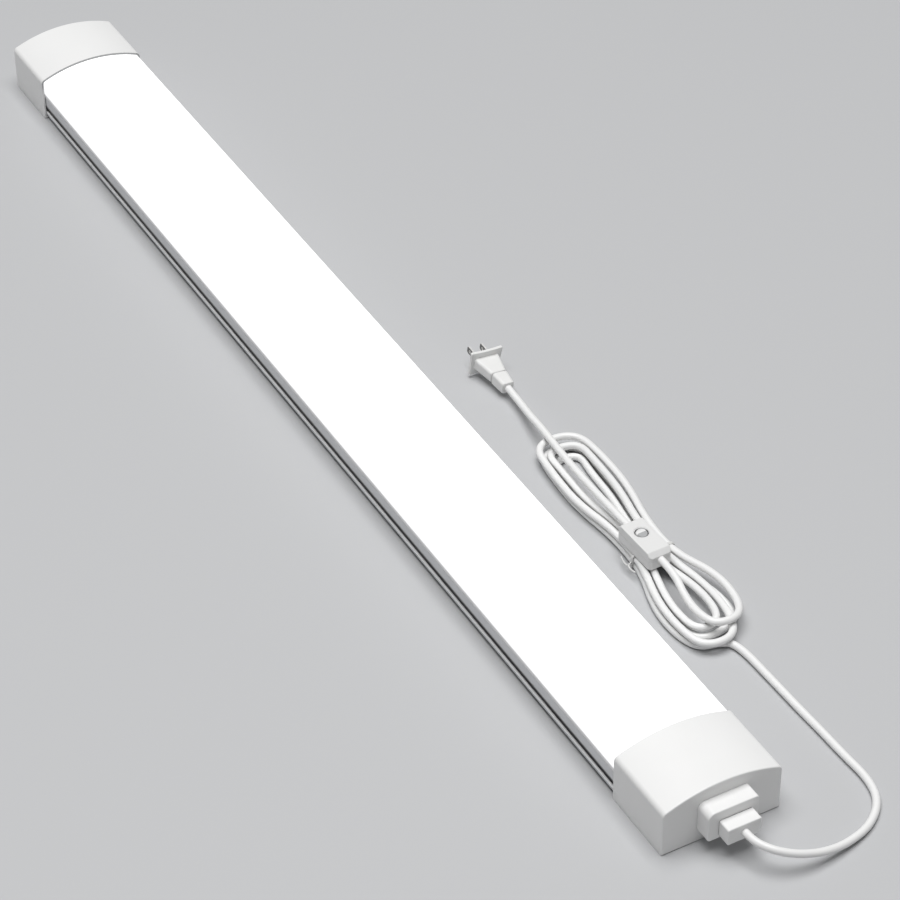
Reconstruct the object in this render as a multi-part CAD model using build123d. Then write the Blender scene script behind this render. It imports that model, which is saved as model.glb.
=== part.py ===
from build123d import *
import os
from math import radians, sin, cos, sqrt, tan

import numpy as np

# A 4 ft vapor tight tube light, lying on its back with its cord set beside it.
# X runs along the lamp with the cord end at +X, Y runs across it, Z points up out of the diffuser.
# The origin is on the surface under the lamp, at the middle of its length with the inlet counted in.
# All sizes are in millimetres.

# Lamp section and length
LAMP_LENGTH = 1200.0
LAMP_WIDTH = 104.0
SHOULDER_HEIGHT = 42.0
CROWN_RISE = 11.0
SHOULDER_RADIUS = 5.0
INNER_CORNER_RADIUS = 1.0

# End caps
CAP_LENGTH = 69.0
CAP_WALL = 1.8
CAP_FLOOR = 2.6
CAP_END_WALL = 2.6
CAP_EDGE_RADIUS = 1.2
CAP_RIM_CHAMFER = 0.4
SLEEVE_DEPTH = 14.0
SLEEVE_CLEARANCE = 0.2
SEAL_THICKNESS = 2.0
SEAL_WIDTH = 4.2
FLANGE_THICKNESS = 2.0

# Cap screws, driven up through the cap floor into the extrusion
CAP_SCREW_SPREAD = 64.0
CAP_SCREW_RADIUS = 1.45
CAP_SCREW_HEAD_RADIUS = 2.75
CAP_SCREW_HEAD_HEIGHT = 1.35
CAP_SCREW_LENGTH = 7.0
CAP_SCREW_RECESS = 0.35
SCREW_CLEARANCE = 0.15

# Aluminium extrusion
BASE_WALL = 1.6
BASE_FLOOR = 1.8
RAIL_TOP = 24.0
LIP_REACH = 3.4
LIP_THICKNESS = 1.6
GROOVE_LOW = 8.0
GROOVE_HEIGHT = 4.0
GROOVE_DEPTH = 3.0
BEAD_RADIUS = 2.0
SLOT_RIB_THICKNESS = 1.4
SLOT_RIB_REACH = 1.8
SLIDE_CLEARANCE = 0.2

# Diffuser
DIFFUSER_WALL = 2.0
HOOK_THICKNESS = 1.8

# LED tray, boards and chips
TRAY_THICKNESS = 1.0
TRAY_BEAD_FOOT = 8.0
TRAY_BEAD_TOP = 5.0
TRAY_BEAD_HEIGHT = 4.0
LED_BOARD_OFFSET = 26.0
LED_BOARD_WIDTH = 16.0
LED_BOARD_THICKNESS = 1.2
LED_BOARD_SETBACK = 14.0
LED_PITCH = 20.0
LED_END_MARGIN = 12.0
LED_CHIP_LENGTH = 3.5
LED_CHIP_WIDTH = 2.8
LED_CHIP_HEIGHT = 0.8
LED_SCREW_SPACING = 240.0
LED_SCREW_RADIUS = 1.2
LED_SCREW_HEAD_RADIUS = 2.4
LED_SCREW_HEAD_HEIGHT = 1.2
LED_SCREW_GRIP = 3.0

# Driver, on bosses in the cord end cap
BOSS_HEIGHT = 6.0
BOSS_RADIUS = 3.0
BOSS_INSET = 4.0
BOSS_BEHIND_TERMINAL = 3.5
DRIVER_LENGTH = 34.0
DRIVER_WIDTH = 78.0
DRIVER_THICKNESS = 1.6
DRIVER_SETBACK = 3.0
DRIVER_SCREW_RADIUS = 1.2
DRIVER_SCREW_HEAD_RADIUS = 2.2
DRIVER_SCREW_HEAD_HEIGHT = 1.2
DRIVER_SCREW_GRIP = 4.0
TRANSFORMER_CORE = (15.0, 22.0, 16.0)
TRANSFORMER_COIL_RADIUS = 7.0
TRANSFORMER_WINDOW = 14.0
TRANSFORMER_Y = -21.0
CAPACITORS = ((5.5, 20.0, 22.0, 20.0), (4.5, 16.0, 22.0, 32.0))
CHOKE_RADIUS = 5.0
CHOKE_HEIGHT = 11.0
CHOKE_GROOVE = 1.5
CHOKE_PLACE = (6.0, 1.5)
INPUT_TERMINAL = (8.0, 18.0, 10.0)
INPUT_TERMINAL_PLACE = 20.0
OUTPUT_TERMINAL = (6.0, 11.0, 9.0)
OUTPUT_TERMINAL_PLACE = 3.5
WIRE_RADIUS = 1.0
LED_WIRE_PITCH = 5.0
LED_WIRE_OVERLAP = 8.0
SOLDER_GAP = 0.1

# Inlet socket on the cord end cap
INLET_REACH = 15.0
INLET_WIDTH = 44.0
INLET_HEIGHT = 27.6
INLET_BOTTOM = 12.6
INLET_BIG_RADIUS = 6.0
INLET_SMALL_RADIUS = 2.5
INLET_EDGE_RADIUS = 1.0
SOCKET_WALL = 1.4
SOCKET_BACK = 6.0
NECK_CLEARANCE = 0.2
LATCH_REACH = 1.2
LATCH_HEIGHT = 6.0
GASKET_RIM = 1.0
GASKET_THICKNESS = 1.0
PIN_RADIUS = 1.9
PIN_PITCH = 12.0
PIN_REACH = 11.0
PIN_TAIL = 5.0
PIN_FIT = 0.05

# Cord connector that plugs into the inlet socket
CONNECTOR_Y = 2.0
CONNECTOR_Z = 23.2
GRIP_WIDTH = 29.4
GRIP_HEIGHT = 15.4
GRIP_LENGTH = 12.0
GRIP_BIG_RADIUS = 5.0
GRIP_SMALL_RADIUS = 1.5
GRIP_EDGE_RADIUS = 1.0
NOSE_WIDTH = 24.0
NOSE_HEIGHT = 8.6
NOSE_LENGTH = 15.0
PLUG_IN_CLEARANCE = 0.3
SLEEVE_OUTER_RADIUS = 2.8
SLEEVE_INNER_RADIUS = 2.0
SLEEVE_LENGTH = 12.0
CONTACT_SETBACK = 0.5
CONTACT_FIT = 0.05

# Power cord: the route's points are the corners of its runs
CORD_RADIUS = 3.2
ARC_SHARE = 0.45
CONNECTOR_LEAD = 13.0
LAMP_RUN_POINTS = [
    (644.5, 7.0, 20.8),
    (652.0, 17.5, 16.8),
    (655.0, 31.5, 12.4),
    (655.5, 50.5, 7.6),
    (652.5, 72.0, 4.2),
    (644.0, 97.5, 3.2),
    (626.5, 117.5, 3.2),
    (603.0, 124.2, 3.2),
    (575.0, 123.0, 3.2),
    (545.0, 122.8, 3.2),
    (515.0, 121.8, 3.2),
]
LAMP_RUN_LAST = 30.0
SWITCH_LEAD = 22.0
PLUG_RUN_POINTS = [
    (230.0, 108.8, 22.0),
    (192.0, 111.6, 20.8),
    (160.0, 114.4, 20.2),
    (134.0, 116.6, 19.6),
    (107.0, 119.0, 14.6),
]
PLUG_LEAD = 20.0

# Hank: each turn runs down one side, round the far lobe, back up the other side and round the near lobe
HANK_X = 296.0
HANK_Y = 114.5
HANK_TILT = -2.5
HANK_REVERSAL = 1.625
HANK_CLIMB = 0.25
HANK_EIGHTHS = 29
INNER_LANE = 0.375
LAYER_STEP = 7.0
WAIST_STEP = 6.95
NEAR_SIDE_U = 90.0
NEAR_SIDE_HALF = 9.5
NEAR_SIDE_STEP = 9.0
NEAR_SHIFT = -3.5
NEAR_END = 116.5
NEAR_END_STEP = 8.0
NEAR_END_SETBACK = 10.5
NEAR_END_V = -6.0
LOWER_BULGE = (6.0, 9.0)
FAR_SIDE_U = 92.0
FAR_SIDE_HALF = 5.0
FAR_SIDE_STEP = 9.2
FAR_END = 124.0
FAR_END_STEP = 13.5
HANK_ENTRY_U = 154.5
HANK_ENTRY_V = 13.2
HANK_ENTRY_HEADING = 183.4
ENTRY_BEND = (136.0, -6.0, 265.0)
TOP_LOOP_OUT = (82.0, 30.5, 13.0)
TOP_LOOP_END = (116.0, 6.0, 17.5)
TOP_LOOP_BACK = (88.0, -10.0, 17.5)
LEAST_GAP = 0.4
GAP_SAMPLE = 1.5
GAP_NEAR = 25.0

# Flat wire tie round the hank's waist
TIE_U = 13.0
TIE_WIDTH = 3.0
TIE_THICKNESS = 0.7
TIE_CLEARANCE = 0.3
TIE_SPREAD = 1.3
TIE_CORNER_RADIUS = 3.0
TIE_TAIL_RADIUS = 0.7
TIE_TAIL_BEND = 2.0
TIE_TAILS = [
    [(1.6, 4.4), (-3.8, 4.9), (-10.6, 3.3)],
    [(1.6, 3.4), (6.1, 4.4), (12.0, 2.9)],
]

# In-line switch, lying on the waist of the hank
SWITCH_X = 309.0
SWITCH_Y = 108.3
SWITCH_HEADING = 1.5
SWITCH_LENGTH = 48.0
SWITCH_WIDTH = 21.5
SWITCH_HEIGHT = 15.4
SWITCH_CORNER_RADIUS = 3.0
SWITCH_END_SLOPE = 4.0
SWITCH_EDGE_RADIUS = 1.0
SWITCH_WALL = 1.8
SWITCH_CAVITY_LENGTH = 32.0
SWITCH_PARTING = 0.1
ROCKER_OFFSET = -4.8
ROCKER_RADIUS = 5.6
ROCKER_GAP = 0.3
ROCKER_DEPTH = 3.6
ROCKER_RIDGE = 4.0
ROCKER_SLOPE = 10.0
ROCKER_BELOW = 2.5
ROCKER_STEM = (2.0, 6.0, 3.0)
ROCKER_REST_TILT = 8.0
TRUNNION_RADIUS = 1.2
TRUNNION_REACH = 1.0
TRUNNION_FIT = 0.05
DISH_CHAMFER = 0.8
SWITCH_SCREW_PLACE = (19.5, 6.5)
SWITCH_SCREW_RADIUS = 1.1
SWITCH_SCREW_HEAD_RADIUS = 2.0
SWITCH_SCREW_HEAD_HEIGHT = 1.2
SWITCH_SCREW_RECESS = 1.0
SWITCH_SCREW_GRIP = 5.0
CONTACT_PLATE = (7.0, 5.0, 0.8)
CONTACT_POST = (1.2, 4.0, 3.2)
CONTACT_SPREAD = 6.5

# Two-blade mains plug, lying on a corner of its flange
PLUG_X = 22.0
PLUG_Y = 122.0
PLUG_Z = 13.4
PLUG_HEADING = -0.4
PLUG_PITCH = 4.3
PLUG_ROLL = -5.7
FLANGE_WIDTH = 31.0
FLANGE_HEIGHT = 23.4
FLANGE_PLATE = 3.0
FLANGE_HOLLOW = 0.7
FLANGE_CORNER_RADIUS = 1.2
BODY_LENGTH = 23.5
BODY_START = (21.5, 18.5)
BODY_FINISH = (15.6, 14.4)
GROOVE_BAND = 2.0
GROOVE_BAND_SIZE = (13.4, 12.2)
NECK_LENGTH = 13.5
NECK_START = (15.0, 13.6)
NECK_FINISH = (11.6, 11.0)
PLUG_CORNER_RADIUS = 3.0
BLADE_SPACING = 12.7
BLADE_WIDTH = 6.35
BLADE_THICKNESS = 1.5
BLADE_REACH = 18.0
BLADE_ROOT = 8.0
BLADE_HOLE_RADIUS = 1.6
BLADE_HOLE_SETBACK = 4.5
BLADE_TIP_CHAMFER = 1.2
BLADE_FIT = 0.05

# Places along the lamp that follow from the sizes above
LAMP_MID_X = -INLET_REACH / 2
CORD_END_X = LAMP_MID_X + LAMP_LENGTH / 2
RIM_X = CORD_END_X - CAP_LENGTH
BODY_END_X = RIM_X + SLEEVE_DEPTH
FLANGE_X = BODY_END_X + SEAL_THICKNESS
CHAMBER_X = FLANGE_X + FLANGE_THICKNESS
END_WALL_X = CORD_END_X - CAP_END_WALL
SOCKET_FACE_X = CORD_END_X + INLET_REACH
GRIP_X = SOCKET_FACE_X + PLUG_IN_CLEARANCE
GRIP_END_X = GRIP_X + GRIP_LENGTH
NOSE_TIP_X = GRIP_X - NOSE_LENGTH
CAVITY_X = NOSE_TIP_X - PLUG_IN_CLEARANCE
NECK_X = CAVITY_X - SOCKET_BACK
PIN_TAIL_X = NECK_X - PIN_TAIL
CAP_SCREW_X = RIM_X + SLEEVE_DEPTH / 2
DRIVER_X = CHAMBER_X + DRIVER_SETBACK
MIDDLE = Plane.YZ.offset(LAMP_MID_X)

# Section values that follow from the sizes above
CROWN_RADIUS = ((LAMP_WIDTH / 2) ** 2 + CROWN_RISE**2) / (2 * CROWN_RISE)
CROWN_CENTRE = SHOULDER_HEIGHT + CROWN_RISE - CROWN_RADIUS
BODY_INSET = CAP_WALL + SLEEVE_CLEARANCE
BODY_HALF = LAMP_WIDTH / 2 - BODY_INSET
BASE_BOTTOM = CAP_FLOOR + SLEEVE_CLEARANCE
WALL_IN = BODY_HALF - BASE_WALL
SHELF_HEIGHT = GROOVE_LOW + GROOVE_HEIGHT + BASE_WALL
TRAY_TOP = SHELF_HEIGHT + TRAY_THICKNESS
LED_BOARD_TOP = TRAY_TOP + LED_BOARD_THICKNESS
LED_BOARD_END_X = BODY_END_X - LED_BOARD_SETBACK
DRIVER_BOTTOM = CAP_FLOOR + BOSS_HEIGHT
DRIVER_TOP = DRIVER_BOTTOM + DRIVER_THICKNESS
CAVITY_WIDTH = NOSE_WIDTH + 2 * PLUG_IN_CLEARANCE
CAVITY_HEIGHT = NOSE_HEIGHT + 2 * PLUG_IN_CLEARANCE
NECK_WIDTH = CAVITY_WIDTH + 2 * SOCKET_WALL
NECK_HEIGHT = CAVITY_HEIGHT + 2 * SOCKET_WALL
GASKET_WIDTH = NECK_WIDTH + 2 * GASKET_RIM
GASKET_HEIGHT = NECK_HEIGHT + 2 * GASKET_RIM

# Heights of the tied waist and of the switch on it
CORD_DIAMETER = 2 * CORD_RADIUS
TIE_LIFT = TIE_THICKNESS + TIE_CLEARANCE
TIE_TOP = CORD_DIAMETER + TIE_LIFT + LAYER_STEP + TIE_CLEARANCE + TIE_THICKNESS
SWITCH_BOTTOM = TIE_TOP + TIE_CLEARANCE
HANK_FRAME = Location((HANK_X, HANK_Y, 0), (0, 0, HANK_TILT))
SWITCH_FRAME = Location((SWITCH_X, SWITCH_Y, SWITCH_BOTTOM), (0, 0, SWITCH_HEADING))
PLUG_TURN = Rot(0, 0, PLUG_HEADING) * Rot(0, PLUG_PITCH, 0) * Rot(PLUG_ROLL, 0, 0)
PLUG_FRAME = Pos(PLUG_X, PLUG_Y, PLUG_Z) * PLUG_TURN
PLUG_LENGTH = FLANGE_PLATE + BODY_LENGTH + GROOVE_BAND + NECK_LENGTH


# Shared shapes

def run_x(face, start, end):
    """Extrude a face drawn across the lamp from one place along X to another."""
    return extrude(Plane.YZ.offset(start) * face, amount=end - start)


def rod_x(radius, start, end, y, z):
    return run_x(Pos(y, z) * Circle(radius), start, end)


def block(size, x, y, z):
    """A block by its middle in X and Y and its lowest Z."""
    return Pos(x, y, z) * Box(*size, align=(Align.CENTER, Align.CENTER, Align.MIN))


def post(radius, height, x, y, z):
    return Pos(x, y, z) * Cylinder(radius, height, align=(Align.CENTER, Align.CENTER, Align.MIN))


def crown_profile(inset, floor):
    """The lamp's section drawn in by an even inset, standing on a flat floor."""
    half = LAMP_WIDTH / 2 - inset
    radius = CROWN_RADIUS - inset
    shoulder = CROWN_CENTRE + sqrt(radius**2 - half**2)
    sides = Polyline((-half, shoulder), (-half, floor), (half, floor), (half, shoulder))
    crown = ThreePointArc((half, shoulder), (0, CROWN_CENTRE + radius), (-half, shoulder))
    face = make_face(sides + crown)
    shoulders = face.vertices().sort_by(Axis.Y)[-2:]
    return fillet(shoulders, max(SHOULDER_RADIUS - inset, INNER_CORNER_RADIUS))


def keyed_outline(width, height, y, z, corner, big_radius, small_radius):
    """A rectangle with one large corner, the rest small."""
    face = Pos(y, z) * Rectangle(width, height)
    corners = face.vertices()
    keyed = [v for v in corners if (v.X - y) * corner[0] > 0 and (v.Y - z) * corner[1] > 0]
    plain = [v for v in corners if v not in keyed]
    face = fillet(plain, small_radius)
    sharp = face.vertices().sort_by_distance((y + corner[0] * width / 2, z + corner[1] * height / 2))[0]
    return fillet(sharp, big_radius)


def screw(radius, length, head_radius, head_height):
    """A pan head screw pointing down, with its seat at the origin."""
    shank = Cylinder(radius, length, align=(Align.CENTER, Align.CENTER, Align.MAX))
    head = Cylinder(head_radius, head_height, align=(Align.CENTER, Align.CENTER, Align.MIN))
    dome = fillet(head.edges().group_by(Axis.Z)[-1], head_height / 2)
    return dome + shank


def tube(path, radius):
    start = path.position_at(0)
    return sweep(Plane(start, z_dir=path.tangent_at(0)) * Circle(radius), path=path)


# Lamp body

def base_extrusion():
    """Channel with a clip groove, a tray slot and an inturned lip on each side."""
    groove_in = BODY_HALF - GROOVE_DEPTH
    groove_top = GROOVE_LOW + GROOVE_HEIGHT
    floor_top = BASE_BOTTOM + BASE_FLOOR
    lip_in = BODY_HALF - LIP_REACH
    rib_low = TRAY_TOP + SLIDE_CLEARANCE
    rib_in = WALL_IN - SLOT_RIB_REACH
    half = Polyline(
        (0, BASE_BOTTOM),
        (BODY_HALF, BASE_BOTTOM),
        (BODY_HALF, GROOVE_LOW),
        (groove_in, GROOVE_LOW),
        (groove_in, groove_top),
        (BODY_HALF, groove_top),
        (BODY_HALF, RAIL_TOP),
        (lip_in, RAIL_TOP),
        (lip_in, RAIL_TOP - LIP_THICKNESS),
        (WALL_IN, RAIL_TOP - LIP_THICKNESS),
        (WALL_IN, rib_low + SLOT_RIB_THICKNESS),
        (rib_in, rib_low + SLOT_RIB_THICKNESS),
        (rib_in, rib_low),
        (WALL_IN, rib_low),
        (WALL_IN, SHELF_HEIGHT),
        (groove_in - BASE_WALL, SHELF_HEIGHT),
        (groove_in - BASE_WALL, GROOVE_LOW - BASE_WALL),
        (WALL_IN, GROOVE_LOW - BASE_WALL),
        (WALL_IN, floor_top),
        (0, floor_top),
        close=True,
    )
    face = make_face(half)
    bead = [v for v in face.vertices() if v.X > BODY_HALF - 0.01 and v.Y < GROOVE_LOW + 0.01]
    face = fillet(bead, BEAD_RADIUS)
    profile = face + mirror(face, Plane.YZ)
    channel = run_x(profile, 2 * LAMP_MID_X - BODY_END_X, BODY_END_X)
    holes = [
        post(CAP_SCREW_RADIUS + CONTACT_FIT, 2 * BASE_FLOOR, x, y, BASE_BOTTOM - BASE_FLOOR / 2)
        for x, y in cap_screw_places()
    ]
    return channel - holes


def diffuser():
    """Crowned opal shell whose hooked legs slide under the lips of the extrusion."""
    seat = RAIL_TOP + SLIDE_CLEARANCE
    shell = crown_profile(BODY_INSET, seat) - crown_profile(BODY_INSET + DIFFUSER_WALL, 0)
    leg_out = BODY_HALF - LIP_REACH - SLIDE_CLEARANCE
    leg_in = leg_out - HOOK_THICKNESS
    foot_top = RAIL_TOP - LIP_THICKNESS - SLIDE_CLEARANCE
    foot_low = foot_top - HOOK_THICKNESS
    foot_out = WALL_IN - SLIDE_CLEARANCE
    hook = make_face(
        Polyline(
            (BODY_HALF, seat),
            (leg_out, seat),
            (leg_out, foot_top),
            (foot_out, foot_top),
            (foot_out, foot_low),
            (leg_in, foot_low),
            (leg_in, seat + DIFFUSER_WALL),
            (BODY_HALF, seat + DIFFUSER_WALL),
            close=True,
        )
    )
    profile = shell + hook + mirror(hook, Plane.YZ)
    return run_x(profile, 2 * LAMP_MID_X - BODY_END_X, BODY_END_X)


def cap_shell():
    """Hollow cap with a sleeve for the lamp body and an inner flange that the seal bears on."""
    cap = run_x(crown_profile(0, 0), RIM_X, CORD_END_X)
    cap = fillet(cap.faces().sort_by(Axis.X)[-1].edges(), CAP_EDGE_RADIUS)
    cap = chamfer(cap.faces().sort_by(Axis.X)[0].edges(), CAP_RIM_CHAMFER)
    cap -= run_x(crown_profile(CAP_WALL, CAP_FLOOR), RIM_X, FLANGE_X)
    cap -= run_x(crown_profile(CAP_WALL + SEAL_WIDTH, CAP_FLOOR + SEAL_WIDTH), FLANGE_X, CHAMBER_X)
    cap -= run_x(crown_profile(CAP_WALL, CAP_FLOOR), CHAMBER_X, END_WALL_X)
    through = CAP_SCREW_RADIUS + SCREW_CLEARANCE
    mouth = CAP_SCREW_HEAD_RADIUS + SCREW_CLEARANCE
    sink_top = CAP_SCREW_RECESS + CAP_SCREW_HEAD_HEIGHT
    for y in (-CAP_SCREW_SPREAD / 2, CAP_SCREW_SPREAD / 2):
        cap -= post(through, CAP_FLOOR, CAP_SCREW_X, y, 0)
        cap -= post(mouth, CAP_SCREW_RECESS, CAP_SCREW_X, y, 0)
        cone = Cone(mouth, through, CAP_SCREW_HEAD_HEIGHT, align=(Align.CENTER, Align.CENTER, Align.MAX))
        cap -= Pos(CAP_SCREW_X, y, sink_top) * cone
    return cap


def cap_screw_places():
    far_x = 2 * LAMP_MID_X - CAP_SCREW_X
    half = CAP_SCREW_SPREAD / 2
    return [(x, y) for x in (far_x, CAP_SCREW_X) for y in (-half, half)]


def end_cap_screws():
    """Countersunk screws that hold the caps to the extrusion, flush in the back."""
    head = Cone(
        CAP_SCREW_HEAD_RADIUS,
        CAP_SCREW_RADIUS,
        CAP_SCREW_HEAD_HEIGHT,
        align=(Align.CENTER, Align.CENTER, Align.MIN),
    )
    shank = Cylinder(CAP_SCREW_RADIUS, CAP_SCREW_LENGTH, align=(Align.CENTER, Align.CENTER, Align.MIN))
    one = head + shank
    return Compound(children=[Pos(x, y, CAP_SCREW_RECESS) * one for x, y in cap_screw_places()])


def end_seal():
    """Rubber ring between the end of the lamp body and the cap's inner flange."""
    outer = crown_profile(BODY_INSET, BASE_BOTTOM)
    inner = crown_profile(CAP_WALL + SEAL_WIDTH, CAP_FLOOR + SEAL_WIDTH)
    return run_x(outer - inner, BODY_END_X, FLANGE_X)


def driver_boss_places():
    """One row of bosses just behind the output terminals, and one at the board's far edge."""
    x_near = DRIVER_X + OUTPUT_TERMINAL_PLACE + OUTPUT_TERMINAL[0] / 2 + BOSS_BEHIND_TERMINAL
    x_far = DRIVER_X + DRIVER_LENGTH - BOSS_INSET
    y = DRIVER_WIDTH / 2 - BOSS_INSET
    return [(x_near, -y), (x_near, y), (x_far, -y), (x_far, y)]


def end_cap_cord():
    """Cap with the inlet opening, its gasket recess and the bosses for the driver."""
    cap = cap_shell()
    opening = Pos(CONNECTOR_Y, CONNECTOR_Z) * Rectangle(
        NECK_WIDTH + 2 * NECK_CLEARANCE, NECK_HEIGHT + 2 * NECK_CLEARANCE
    )
    recess = Pos(CONNECTOR_Y, CONNECTOR_Z) * Rectangle(GASKET_WIDTH, GASKET_HEIGHT)
    cap -= run_x(opening, END_WALL_X, CORD_END_X)
    cap -= run_x(recess, CORD_END_X - GASKET_THICKNESS, CORD_END_X)
    pilot_depth = DRIVER_SCREW_GRIP + CONTACT_SETBACK
    for x, y in driver_boss_places():
        cap += post(BOSS_RADIUS, BOSS_HEIGHT, x, y, CAP_FLOOR)
        cap -= post(DRIVER_SCREW_RADIUS + CONTACT_FIT, pilot_depth, x, y, DRIVER_BOTTOM - pilot_depth)
    return cap


# Light source

def led_tray():
    """Sheet metal tray with a pressed stiffening bead, held in the slots of the extrusion."""
    half = WALL_IN - SLIDE_CLEARANCE
    lean = TRAY_BEAD_FOOT - TRAY_BEAD_TOP
    slope_length = sqrt(lean**2 + TRAY_BEAD_HEIGHT**2)
    shift = TRAY_THICKNESS * (slope_length - lean) / TRAY_BEAD_HEIGHT
    bead_top = TRAY_TOP + TRAY_BEAD_HEIGHT
    face = make_face(
        Polyline(
            (-half, TRAY_TOP),
            (-TRAY_BEAD_FOOT, TRAY_TOP),
            (-TRAY_BEAD_TOP, bead_top),
            (TRAY_BEAD_TOP, bead_top),
            (TRAY_BEAD_FOOT, TRAY_TOP),
            (half, TRAY_TOP),
            (half, SHELF_HEIGHT),
            (TRAY_BEAD_FOOT - shift, SHELF_HEIGHT),
            (TRAY_BEAD_TOP - shift, bead_top - TRAY_THICKNESS),
            (shift - TRAY_BEAD_TOP, bead_top - TRAY_THICKNESS),
            (shift - TRAY_BEAD_FOOT, SHELF_HEIGHT),
            (-half, SHELF_HEIGHT),
            close=True,
        )
    )
    end = BODY_END_X - SLIDE_CLEARANCE
    tray = run_x(face, 2 * LAMP_MID_X - end, end)
    hole = LED_SCREW_RADIUS + CONTACT_FIT
    return tray - [post(hole, 2 * TRAY_THICKNESS, x, y, SHELF_HEIGHT) for x, y in led_screw_places()]


def led_board(side):
    y = side * LED_BOARD_OFFSET
    face = Pos(y, TRAY_TOP + LED_BOARD_THICKNESS / 2) * Rectangle(LED_BOARD_WIDTH, LED_BOARD_THICKNESS)
    board = run_x(face, 2 * LAMP_MID_X - LED_BOARD_END_X, LED_BOARD_END_X)
    hole = LED_SCREW_RADIUS + SCREW_CLEARANCE
    places = [place for place in led_screw_places() if place[1] == y]
    return board - [post(hole, LED_BOARD_THICKNESS, x, y, TRAY_TOP) for x, y in places]


def led_half_count():
    """Chips on each half of a board, placed at odd multiples of half the pitch."""
    usable = LED_BOARD_END_X - LAMP_MID_X - LED_END_MARGIN
    return int(usable / LED_PITCH + 0.5)


def led_chips():
    chip = Box(LED_CHIP_LENGTH, LED_CHIP_WIDTH, LED_CHIP_HEIGHT, align=(Align.CENTER, Align.CENTER, Align.MIN))
    count = led_half_count()
    chips = []
    for side in (-1, 1):
        for step in range(-count, count):
            x = LAMP_MID_X + (step + 0.5) * LED_PITCH
            chips.append(Pos(x, side * LED_BOARD_OFFSET, LED_BOARD_TOP) * chip)
    return Compound(children=chips)


def led_screw_places():
    """Screws sit midway between chips, at whole multiples of the pitch."""
    chips_between = round(LED_SCREW_SPACING / LED_PITCH)
    steps = (led_half_count() - 1) // chips_between
    spacing = chips_between * LED_PITCH
    xs = [LAMP_MID_X + step * spacing for step in range(-steps, steps + 1)]
    return [(x, side * LED_BOARD_OFFSET) for side in (-1, 1) for x in xs]


def led_board_screws():
    grip = LED_BOARD_THICKNESS + TRAY_THICKNESS + LED_SCREW_GRIP
    one = screw(LED_SCREW_RADIUS, grip, LED_SCREW_HEAD_RADIUS, LED_SCREW_HEAD_HEIGHT)
    return Compound(children=[Pos(x, y, LED_BOARD_TOP) * one for x, y in led_screw_places()])


# Driver

def driver_board():
    board = block(
        (DRIVER_LENGTH, DRIVER_WIDTH, DRIVER_THICKNESS), DRIVER_X + DRIVER_LENGTH / 2, 0, DRIVER_BOTTOM
    )
    hole = DRIVER_SCREW_RADIUS + SCREW_CLEARANCE
    return board - [post(hole, DRIVER_THICKNESS, x, y, DRIVER_BOTTOM) for x, y in driver_boss_places()]


def driver_transformer():
    """Ferrite core with an open window round its wound coil, midway between the rows of screws."""
    rows = [place[0] for place in driver_boss_places()]
    x = (min(rows) + max(rows)) / 2
    y = TRANSFORMER_Y
    length, width, height = TRANSFORMER_CORE
    core = block(TRANSFORMER_CORE, x, y, DRIVER_TOP)
    limb = (height - 2 * SLOT_RIB_THICKNESS - TRANSFORMER_WINDOW / 2) / 2
    window = block((2 * length, TRANSFORMER_WINDOW, height - 2 * limb), x, y, DRIVER_TOP + limb)
    coil = Pos(x, y, DRIVER_TOP + height / 2) * Rot(90, 0, 0) * Cylinder(
        TRANSFORMER_COIL_RADIUS, TRANSFORMER_WINDOW
    )
    return core - window + coil


def driver_capacitors():
    """Two cans with a crimped waist near the base."""
    cans = []
    for radius, height, x, y in CAPACITORS:
        can = post(radius, height, DRIVER_X + x, y, DRIVER_TOP)
        rim = can.edges().filter_by(GeomType.CIRCLE)
        cans.append(fillet(rim, radius / 6))
    return Compound(children=cans)


def driver_choke():
    x = DRIVER_X + CHOKE_PLACE[0]
    y = CHOKE_PLACE[1]
    spool = post(CHOKE_RADIUS, CHOKE_HEIGHT, x, y, DRIVER_TOP)
    ring = post(CHOKE_RADIUS, CHOKE_HEIGHT - 2 * CHOKE_GROOVE, x, y, DRIVER_TOP + CHOKE_GROOVE)
    ring -= post(CHOKE_RADIUS - CHOKE_GROOVE / 2, CHOKE_HEIGHT, x, y, DRIVER_TOP)
    return spool - ring


def input_terminal_face():
    return DRIVER_X + INPUT_TERMINAL_PLACE + INPUT_TERMINAL[0] / 2


def output_terminal_face():
    return DRIVER_X + OUTPUT_TERMINAL_PLACE - OUTPUT_TERMINAL[0] / 2


def driver_terminals():
    """One block for the mains wires and one for each LED board."""
    blocks = [block(INPUT_TERMINAL, DRIVER_X + INPUT_TERMINAL_PLACE, CONNECTOR_Y, DRIVER_TOP)]
    for side in (-1, 1):
        x = DRIVER_X + OUTPUT_TERMINAL_PLACE
        blocks.append(block(OUTPUT_TERMINAL, x, side * LED_BOARD_OFFSET, DRIVER_TOP))
    return Compound(children=blocks)


def driver_screws():
    grip = DRIVER_THICKNESS + DRIVER_SCREW_GRIP
    one = screw(DRIVER_SCREW_RADIUS, grip, DRIVER_SCREW_HEAD_RADIUS, DRIVER_SCREW_HEAD_HEIGHT)
    return Compound(children=[Pos(x, y, DRIVER_TOP) * one for x, y in driver_boss_places()])


def pin_places():
    return [CONNECTOR_Y - PIN_PITCH / 2, CONNECTOR_Y + PIN_PITCH / 2]


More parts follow.
